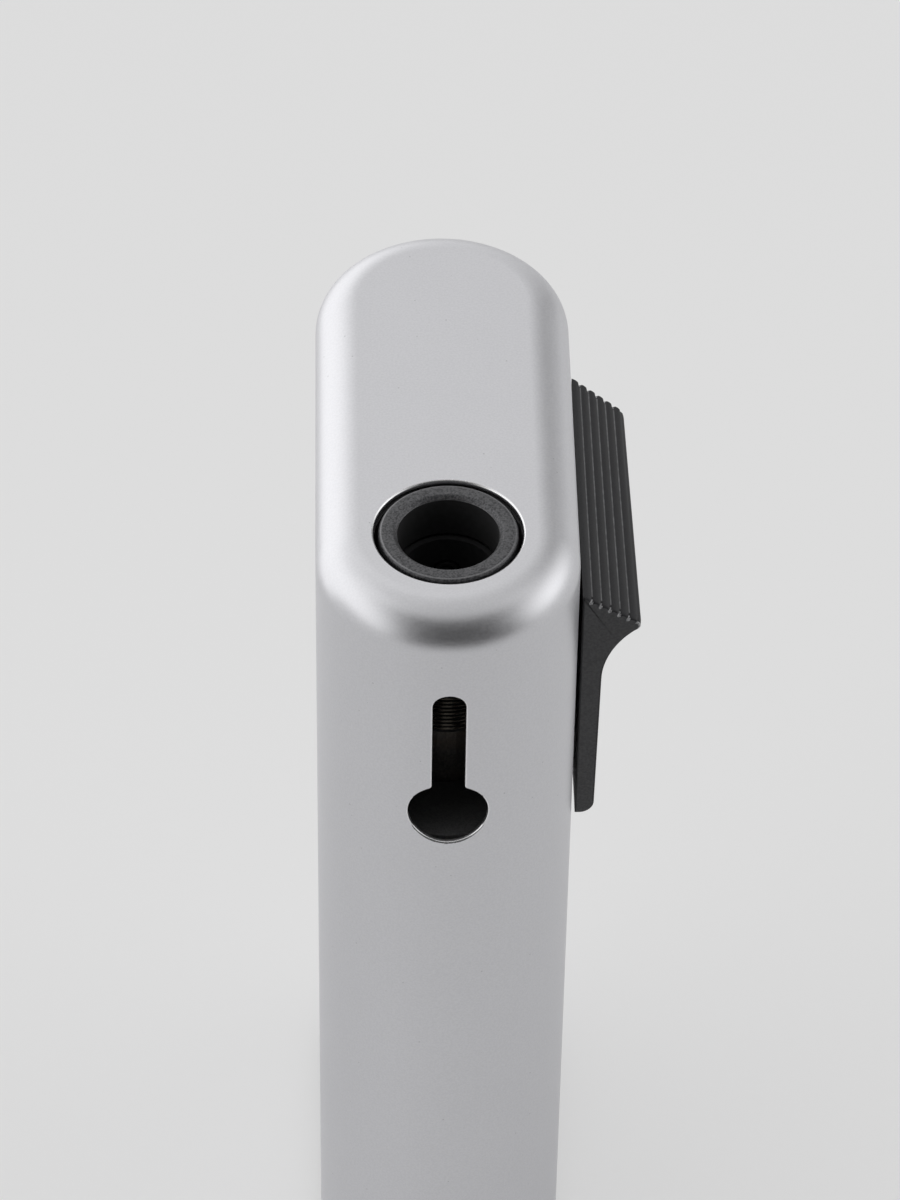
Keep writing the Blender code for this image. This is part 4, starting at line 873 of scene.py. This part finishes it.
def build_ring(look):
    """The sandblasted nozzle ring."""
    low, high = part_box("nozzle_ring")
    head_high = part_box("burner_head")[1]
    top_z = TOP_Z - look.ring_drop
    thread = head_high.x + look.thread_gap
    shoulder_z = head_high.z + look.thread_gap
    outline = [
        (thread, low.z), (high.x, low.z), (high.x, top_z), (look.bore + look.chamfer, top_z),
        (look.bore, top_z - look.chamfer), (look.bore, shoulder_z), (thread, shoulder_z),
    ]
    edge = look.worn_edge
    shape = turned(eased(outline, [0.0, edge, look.shoulder, edge, edge, 0.0, 0.0]), FRONT_Y, FINE_STEPS)
    materials = [blasted_black(look), painted_shade_black(look), painted_ring_highlight(look)]
    mesh = piece("blasted_ring", shape, materials, "nozzle_ring").data
    # Faces near the shoulder's middle and the chamfer's lower edge take the painted highlight.
    highlight_rings = ((high.x - look.shoulder / 2, 0.0), (look.bore, look.chamfer))
    for face in mesh.polygons:
        reach = math.hypot(face.center.x, face.center.y - FRONT_Y)
        drop = top_z - face.center.z
        away = min(math.hypot(reach - radius, drop - depth) for radius, depth in highlight_rings)
        if away < EDGE_HIGHLIGHT_WIDTH * edge:
            face.material_index = RING_EDGE_HIGHLIGHT
        # Below the chamfer, the bore's wall takes the painted shade.
        elif drop > look.chamfer and reach < look.bore + edge:
            face.material_index = PAINTED_SHADE_SLOT


def build_burner(look):
    """The threaded brass burner head, with painted shade on its thread's roots, its lowest turn, its top rim and
    its chamber.
    """
    low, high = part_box("burner_head")
    outer = high.x
    chamber = outer - look.head_wall
    floor_z = low.z + look.socket_depth
    loops = threaded(outer, look.thread_depth, look.thread_pitch, low.z, high.z, FRONT_Y)
    rows = len(loops)
    for radius, z in ((chamber, high.z), (chamber, floor_z), (look.socket, floor_z), (look.socket, low.z)):
        loops.append(circle(radius, z, FRONT_Y, ROUND_STEPS))

    # Painted shade on the thread's roots, the lowest turn, the top rim and the chamber, so that only the crests
    # look lit.
    def paint(row, index):
        turn = (row + 0.5) / THREAD_ROWS - index / ROUND_STEPS
        in_painted_shade = row < THREAD_ROWS or row >= rows - 1 or math.cos(2 * math.pi * turn) > 0
        return PAINTED_SHADE_SLOT if in_painted_shade else 0

    head = skin(loops, closed=True, paint=paint)
    way = skin([circle(look.electrode_hole, z, 0.0, SMALL_STEPS) for z in (-outer, 0.0)])
    turn = Matrix.Rotation(math.pi / 2, 4, "X")
    way.transform(Matrix.Translation((0.0, FRONT_Y, TOP_Z - look.electrode_drop)) @ turn)
    piece("threaded_burner", carved(head, [way]), [smoked_brass(look), painted_shade_black(look)], "burner_head")
    # The flame disc and the electrode deep in the nozzle take the same painted shade.
    dress(painted_shade_black(look), "flame_disc", "electrode_insulator", "electrode")


def trigger_profile(look):
    """The trigger's section as (x, z), each point's nearness to a groove, and the slope's normal."""
    inner_x = HALF_WIDTH + look.gap
    top_z = TOP_Z - look.drop
    start = Vector((inner_x, top_z))
    lip = Vector((HALF_WIDTH + look.lip_reach - look.lip_round, top_z - look.lip_drop))
    across = lip - start
    slope = math.atan2(across.y, across.x) + math.asin(look.lip_round / across.length)
    normal = Vector((-math.sin(slope), math.cos(slope)))
    end = lip + normal * look.lip_round
    points = []
    grooves = []
    count = look.rib_count * RIB_STEPS
    for step in range(count):
        crest = look.rib_height * abs(math.sin(math.pi * step / RIB_STEPS))
        points.append(tuple(start.lerp(end, step / count) + normal * crest))
        near = abs((step + RIB_STEPS / 2) % RIB_STEPS - RIB_STEPS / 2) / RIB_STEPS
        grooves.append(max(0.0, 1 - GROOVE_FADE * near) if step > RIB_STEPS / 2 else 0.0)
    curve = arc(lip, look.lip_round, slope + math.pi / 2, -look.undercut)
    grooves += [LIP_WEAR] * len(curve)
    plate_x = HALF_WIDTH + look.plate_reach
    under_x, under_z = curve[-1]
    radius = (under_x - plate_x) / (1 - math.cos(look.undercut))
    centre = (plate_x + radius, under_z - radius * math.sin(look.undercut))
    curve += arc(centre, radius, math.pi - look.undercut, math.pi)[1:]
    foot_z = top_z - look.height
    corner = (plate_x - look.plate_taper - look.corner, foot_z + look.corner)
    curve += arc(corner, look.corner, 0.0, -math.pi / 2)
    curve.append((inner_x, foot_z))
    points += curve
    return points, grooves + [0.0] * (len(points) - len(grooves)), normal


def trigger_ends(look):
    """Rows at an end of the trigger, as how far in each lies and how much its section is drawn in."""
    ends = arc((look.end_round, look.end_round), look.end_round, math.pi, 1.5 * math.pi, END_ROWS)
    for step in range(1, FLARE_ROWS + 1):
        ends.append((look.end_round + (look.flare - look.end_round) * step / FLARE_ROWS, 0.0))
    return ends


def build_trigger(look):
    """The ribbed thumb trigger and its tongue."""
    outline, grooves, normal = trigger_profile(look)
    ends = trigger_ends(look)
    half = look.span / 2
    inner_x = HALF_WIDTH + look.gap
    front = []
    rear = []
    for depth, amount in ends:
        flare = look.flare_depth * (1 - depth / look.flare)
        drawn_in = zip(inset(outline, amount), grooves)
        section = [point - normal * flare * groove for point, groove in drawn_in]
        front.append([(x, -half + depth, z) for x, z in section])
        loop = []
        for x, z in section:
            out = (x - inner_x) / (look.lip_reach - look.gap)
            y = half + look.rear_root - look.rear_slant * out - depth
            loop.append((x - look.rear_taper * out, y, z))
        rear.insert(0, loop)

    # Faces along a groove's middle take the painted highlight; faces at the grooves' and the lip's ends take the
    # rubbed plastic.
    def paint(row, index):
        highlight_and_wear = min(grooves[index - 1], grooves[index])
        deeper = min(row + 1, 2 * len(ends) - 1 - row)
        if deeper == len(ends):
            return TRIGGER_GROOVE_HIGHLIGHT if highlight_and_wear > GROOVE_HIGHLIGHT_NEARNESS else 0
        return TRIGGER_WORN if highlight_and_wear > max(LIP_WEAR / 2, ends[deeper][0] / look.flare) else 0

    body = skin(front + rear, paint=paint)
    # The caps of both ends take the ends' painted light.
    for face in body.faces:
        if len(face.verts) >= CAP_CORNERS:
            face.material_index = TRIGGER_PAINTED_LIT_END
    top_z = TOP_Z - look.drop - look.tongue_drop
    tongue = look.tongue_width / 2
    root_x = inner_x + look.plate_reach / 2
    low = (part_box("trigger")[0].x, -tongue, top_z - look.tongue_height)
    body = carved(body, [block(low, (root_x, tongue, top_z))], "UNION")
    piece("thumb_trigger", body, trigger_paints(look), "trigger")


def build_base(look, black):
    """The moulded base with its recesses."""
    low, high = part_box("base_cap")
    plug = HALF_WIDTH - look.plug_inset
    outline = [
        (0.0, low.z), (high.x - look.chamfer, low.z), (high.x, low.z + look.chamfer), (high.x, look.flange),
        (plug, look.flange), (plug, high.z), (0.0, high.z),
    ]
    body = skin([ended(radius, z) for radius, z in eased(outline, look.foot_ease) if radius > 0])
    seats = [
        (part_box("fill_valve_body")[1].x, look.valve_barrel, look.recess + look.valve_flange, REAR_Y),
        (look.dial_radius, look.adjuster_shank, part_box("adjuster_dial")[1].z, FRONT_Y),
    ]
    for node in SCREWS:
        seats.append((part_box(node)[1].x, look.screw_shank, look.recess + look.screw_head, middle_y(node)))
    cutters = []
    for wide, narrow, depth, y in seats:
        cutters.append(stepped(wide + look.gap, narrow + look.gap, low.z, depth + look.gap, high.z, y))
    piece("moulded_base", carved(body, cutters), [black], "base_cap")


def build_screws(look, steel):
    """The two cross-head screws in the base."""
    for node in SCREWS:
        low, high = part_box(node)
        y = middle_y(node)
        head_z = low.z + look.screw_head
        head = eased(disc(high.x, low.z, head_z), look.edge_ease)
        loops = [circle(radius, z, y, SMALL_STEPS) for radius, z in head if radius > 0]
        loops += threaded(
            look.screw_shank, look.screw_thread, look.screw_pitch, head_z, high.z, y, SMALL_STEPS
        )
        half = look.drive_width / 2
        reach = look.screw_shank
        bottom = low.z - OVERCUT
        top = low.z + look.drive_depth
        cross = [
            block((-reach, y - half, bottom), (reach, y + half, top)),
            block((-half, y - reach, bottom), (half, y + reach, top)),
        ]
        piece(f"{node}_threaded", carved(skin(loops), cross), [steel], node)


def build_dial(look, black):
    """The notched flame dial with its coin slot."""
    low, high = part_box("adjuster_dial")
    dial = turned(eased(disc(look.dial_radius, low.z, high.z), look.edge_ease), FRONT_Y)
    cutters = []
    for index in range(look.dial_notches):
        angle = 2 * math.pi * index / look.dial_notches
        notch = turned(disc(look.dial_notch, low.z - OVERCUT, high.z + OVERCUT), FRONT_Y, SMALL_STEPS)
        place = (look.dial_radius * math.cos(angle), look.dial_radius * math.sin(angle), 0.0)
        bmesh.ops.translate(notch, verts=notch.verts, vec=place)
        cutters.append(notch)
    reach = look.dial_radius / 2
    half = look.drive_width
    slot_low = (-reach, FRONT_Y - half, low.z - OVERCUT)
    cutters.append(block(slot_low, (reach, FRONT_Y + half, low.z + look.drive_depth)))
    piece("flame_dial", carved(dial, cutters), [black], "adjuster_dial")


def build_refill(look, brass):
    """The refill valve's body and stem."""
    low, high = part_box("fill_valve_body")
    flange_z = low.z + look.valve_flange
    neck_z = high.z - look.valve_lip
    stem_low, stem_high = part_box("fill_valve_stem")
    collar_z = stem_high.z - look.collar
    seat_z = collar_z - look.gap
    body = [
        (look.stem_hole, low.z), (high.x, low.z), (high.x, flange_z), (look.valve_barrel, flange_z),
        (look.valve_barrel, high.z), (look.valve_outlet, high.z), (look.valve_outlet, neck_z),
        (look.valve_chamber, neck_z), (look.valve_chamber, seat_z), (look.stem_hole, seat_z),
    ]
    piece("refill_body", turned(eased(body, look.valve_ease), REAR_Y), [brass], "fill_valve_body")
    stem = [
        (0.0, stem_low.z), (look.stem_radius, stem_low.z), (look.stem_radius, collar_z),
        (stem_high.x, collar_z), (stem_high.x, stem_high.z), (0.0, stem_high.z),
    ]
    shape = turned(eased(stem, look.soft_ease), REAR_Y, SMALL_STEPS)
    piece("refill_stem", shape, [brass], "fill_valve_stem")


def build_springs(steel):
    """The springs that the joints list as deforming, each wound as a coil on its body."""
    for joint in frame["joints"]:
        for row in joint.get("deforming_nodes", ()):
            node = row["node"]
            low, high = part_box(node)
            winding = WINDINGS[node]
            shape = coil(high.x - winding.wire / 2, winding, low.z, high.z, middle_y(node))
            spring = piece(f"{node}_wound", shape, [steel], node)
            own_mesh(spring)


def build_soft(look, rubber, foam):
    """Seals, the valve's seat, the gas hose, the tank's gasket and the restrictor's wad."""
    for node in ("valve_o_ring", "fill_valve_seal", "adjuster_seal"):
        low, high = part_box(node)
        half = (high.z - low.z) / 2
        ring = arc((high.x - half, low.z + half), half, 0.0, 2 * math.pi, SEAL_STEPS)[:-1]
        piece(f"{node}_ring", turned(ring, middle_y(node)), [rubber], node)
    for node, material in (("valve_seal", rubber), ("flow_restrictor", foam)):
        low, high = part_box(node)
        profile = eased(disc(high.x, low.z, high.z), look.soft_ease)
        piece(f"{node}_disc", turned(profile, middle_y(node), SMALL_STEPS), [material], node)
    low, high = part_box("gas_hose")
    hose = eased(disc(high.x, low.z, high.z, look.hose_bore), look.soft_ease)
    piece("gas_hose_tube", turned(hose, FRONT_Y), [rubber], "gas_hose")
    low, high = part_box("tank_gasket")
    band = eased(disc(high.x, low.z, high.z, high.x - look.gasket_width), look.edge_ease)
    shape = skin([ended(radius, z) for radius, z in band], closed=True)
    piece("tank_gasket_band", shape, [rubber], "tank_gasket")


def build_floor(look):
    """A pale floor, cut short in front and stepped in at the left."""
    far = look.floor_size
    near = -look.floor_front
    left = -look.floor_left
    step = look.floor_step
    outline = [(-far, near), (far, near), (far, far), (left, far), (left, step), (-far, step)]
    mesh = bpy.data.meshes.new("floor")
    mesh.from_pydata([(x, y, 0.0) for x, y in outline], [], [range(len(outline))])
    floor = bpy.data.objects.new("floor", mesh)
    bpy.context.scene.collection.objects.link(floor)
    paper = bpy.data.materials.new("pale_floor")
    paper.use_nodes = True
    start = Wire(paper.node_tree)
    tint = (*look.floor, 1.0)
    matt = start.node("ShaderNodeBsdfDiffuse", None, {"Color": tint})
    plain = start.node("ShaderNodeEmission", None, {"Color": tint, "Strength": 1.0})
    seen = start.node("ShaderNodeLightPath", output="Is Camera Ray")
    glossy = start.node("ShaderNodeLightPath", output="Is Glossy Ray")
    share = seen * look.plain + glossy * look.mirrored
    shown = start.node("ShaderNodeMixShader", None, {0: share, 1: matt, 2: plain})
    shown.into(paper.node_tree.nodes["Material Output"], "Surface")
    mesh.materials.append(paper)


def glow(start, direction, softbox):
    """How much of a softbox's light comes from a direction, from 1 in its core to 0 past its spread."""
    azimuth, elevation, core, spread = (math.radians(degrees) for degrees in softbox)
    level_part = math.cos(elevation)
    axis = (math.sin(azimuth) * level_part, -math.cos(azimuth) * level_part, math.sin(elevation))
    product = {"operation": "DOT_PRODUCT"}
    facing = start.node("ShaderNodeVectorMath", product, {0: direction, 1: axis}, "Value")
    return rise(start, start.maths("ARCCOSINE", facing, 0.0), core + spread, core)


def build_light(look):
    """A dome of softboxes, behind which the camera sees a plain backdrop."""
    world = bpy.data.worlds.new("studio")
    bpy.context.scene.world = world
    world.use_nodes = True
    start = Wire(world.node_tree)
    direction = start.node("ShaderNodeTexCoord", output="Generated")
    round_about = glow(start, direction, BACK_BOX) * look.back
    for box, strength in ((LEFT_BOX, look.left), (RIGHT_BOX, look.right), (EDGE_BOX, look.edge)):
        round_about = start.maths("MAXIMUM", round_about, glow(start, direction, box) * strength)
    light = round_about + glow(start, direction, TOP_BOX) * look.overhead + look.ambient
    dome = start.node("ShaderNodeBackground", None, {"Strength": light})
    drop = start.node("ShaderNodeBackground", None, {"Color": (*look.drop, 1.0), "Strength": 1.0})
    seen = start.node("ShaderNodeLightPath", output="Is Camera Ray")
    shown = start.node("ShaderNodeMixShader", None, {0: seen, 1: dome, 2: drop})
    shown.into(world.node_tree.nodes["World Output"], "Surface")


def build_camera(look):
    """The camera, where the photo was taken from."""
    data = bpy.data.cameras.new("camera")
    data.lens = look.lens
    data.sensor_width = look.sensor
    data.clip_start = look.near_clip
    camera = bpy.data.objects.new("camera", data)
    bpy.context.scene.collection.objects.link(camera)
    aim = Euler((math.pi / 2 - look.pitch, 0.0, -look.yaw)).to_matrix().to_4x4()
    lean = Matrix.Rotation(look.roll, 4, "Z")
    camera.matrix_world = Matrix.Translation(look.stand) @ aim @ lean
    bpy.context.scene.camera = camera
    bpy.context.scene.view_settings.view_transform = "Standard"


class TORCH_OT_case(bpy.types.Operator):
    """Build the drawn aluminium case"""

    bl_idname = "torch.case"
    bl_label = "Case"

    def execute(self, context):
        build_case(context.scene.torch_case)
        return {"FINISHED"}


class TORCH_OT_ring(bpy.types.Operator):
    """Build the nozzle ring"""

    bl_idname = "torch.ring"
    bl_label = "Nozzle ring"

    def execute(self, context):
        build_ring(context.scene.torch_burner)
        return {"FINISHED"}


class TORCH_OT_burner(bpy.types.Operator):
    """Build the threaded burner head"""

    bl_idname = "torch.burner"
    bl_label = "Burner head"

    def execute(self, context):
        build_burner(context.scene.torch_burner)
        return {"FINISHED"}


class TORCH_OT_trigger(bpy.types.Operator):
    """Build the ribbed thumb trigger"""

    bl_idname = "torch.trigger"
    bl_label = "Trigger"

    def execute(self, context):
        build_trigger(context.scene.torch_trigger)
        return {"FINISHED"}


class TORCH_OT_base(bpy.types.Operator):
    """Build the base, its screws, the flame dial and the refill valve"""

    bl_idname = "torch.base"
    bl_label = "Base"

    def execute(self, context):
        look = context.scene.torch_base
        black = moulded_black("base_black", context.scene.torch_trigger, grain=0.1 * MM)
        steel = grained("screw_steel", SCREW_STEEL)
        brass = grained("turned_brass", TURNED_BRASS, overlays=[(turning_lines, TURNED_GROOVE)])
        build_base(look, black)
        build_screws(look, steel)
        build_dial(look, black)
        build_refill(look, brass)
        dress(brass, "jet_holder", "valve_body", "valve_stem", "restrictor_cup", "adjuster_screw")
        return {"FINISHED"}


class TORCH_OT_inside(bpy.types.Operator):
    """Build the springs and the soft pieces, and finish what keeps its CAD shape"""

    bl_idname = "torch.inside"
    bl_label = "Inside"

    def execute(self, context):
        steel = grained("spring_steel", SPRING_STEEL)
        rubber = grained("black_rubber", BLACK_RUBBER)
        foam = grained("filter_foam", FILTER_FOAM, relief=0.03 * MM)
        build_springs(steel)
        build_soft(context.scene.torch_base, rubber, foam)
        dress(steel, "gas_lever", "lever_pin")
        dress(grained("charcoal_moulding", CHARCOAL), "chassis", "tank_lid", "piezo_body")
        dress(grained("white_acetal", WHITE_ACETAL), "trigger_slide", "piezo_plunger")
        dress(grained("smoked_tank", SMOKED_TANK), "tank", "riser_tube")
        dress(grained("red_lead", RED_LEAD), "ignition_wire")
        dress(grained("burnt_steel", BURNT_STEEL, overlays=[(heat_bands, BURNT_HEAT)]), "mixing_tube")
        return {"FINISHED"}


class TORCH_OT_stage(bpy.types.Operator):
    """Set the floor, the light and the camera"""

    bl_idname = "torch.stage"
    bl_label = "Stage"

    def execute(self, context):
        look = context.scene.torch_stage
        build_floor(look)
        build_light(look)
        build_camera(look)
        return {"FINISHED"}


class TORCH_PT_pieces(bpy.types.Panel):
    """The torch's pieces"""

    bl_idname = "TORCH_PT_pieces"
    bl_label = "Pocket Torch"
    bl_space_type = "VIEW_3D"
    bl_region_type = "UI"
    bl_category = "Torch"

    def draw(self, context):
        for operator in OPERATORS:
            self.layout.operator(operator.bl_idname)


GROUPS = {
    "torch_case": TorchCase,
    "torch_trigger": TorchTrigger,
    "torch_burner": TorchBurner,
    "torch_base": TorchBase,
    "torch_stage": TorchStage,
}
OPERATORS = (
    TORCH_OT_case, TORCH_OT_ring, TORCH_OT_burner, TORCH_OT_trigger,
    TORCH_OT_base, TORCH_OT_inside, TORCH_OT_stage,
)


def register():
    for name, group in GROUPS.items():
        bpy.utils.register_class(group)
        setattr(bpy.types.Scene, name, PointerProperty(type=group))
    for item in (*OPERATORS, TORCH_PT_pieces):
        bpy.utils.register_class(item)


def unregister():
    for item in (TORCH_PT_pieces, *reversed(OPERATORS)):
        bpy.utils.unregister_class(item)
    for name, group in reversed(GROUPS.items()):
        delattr(bpy.types.Scene, name)
        bpy.utils.unregister_class(group)


def main():
    """Register the add-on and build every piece."""
    register()
    bpy.ops.torch.case()
    bpy.ops.torch.ring()
    bpy.ops.torch.burner()
    bpy.ops.torch.trigger()
    bpy.ops.torch.base()
    bpy.ops.torch.inside()
    bpy.ops.torch.stage()


if __name__ == "__main__":
    main()
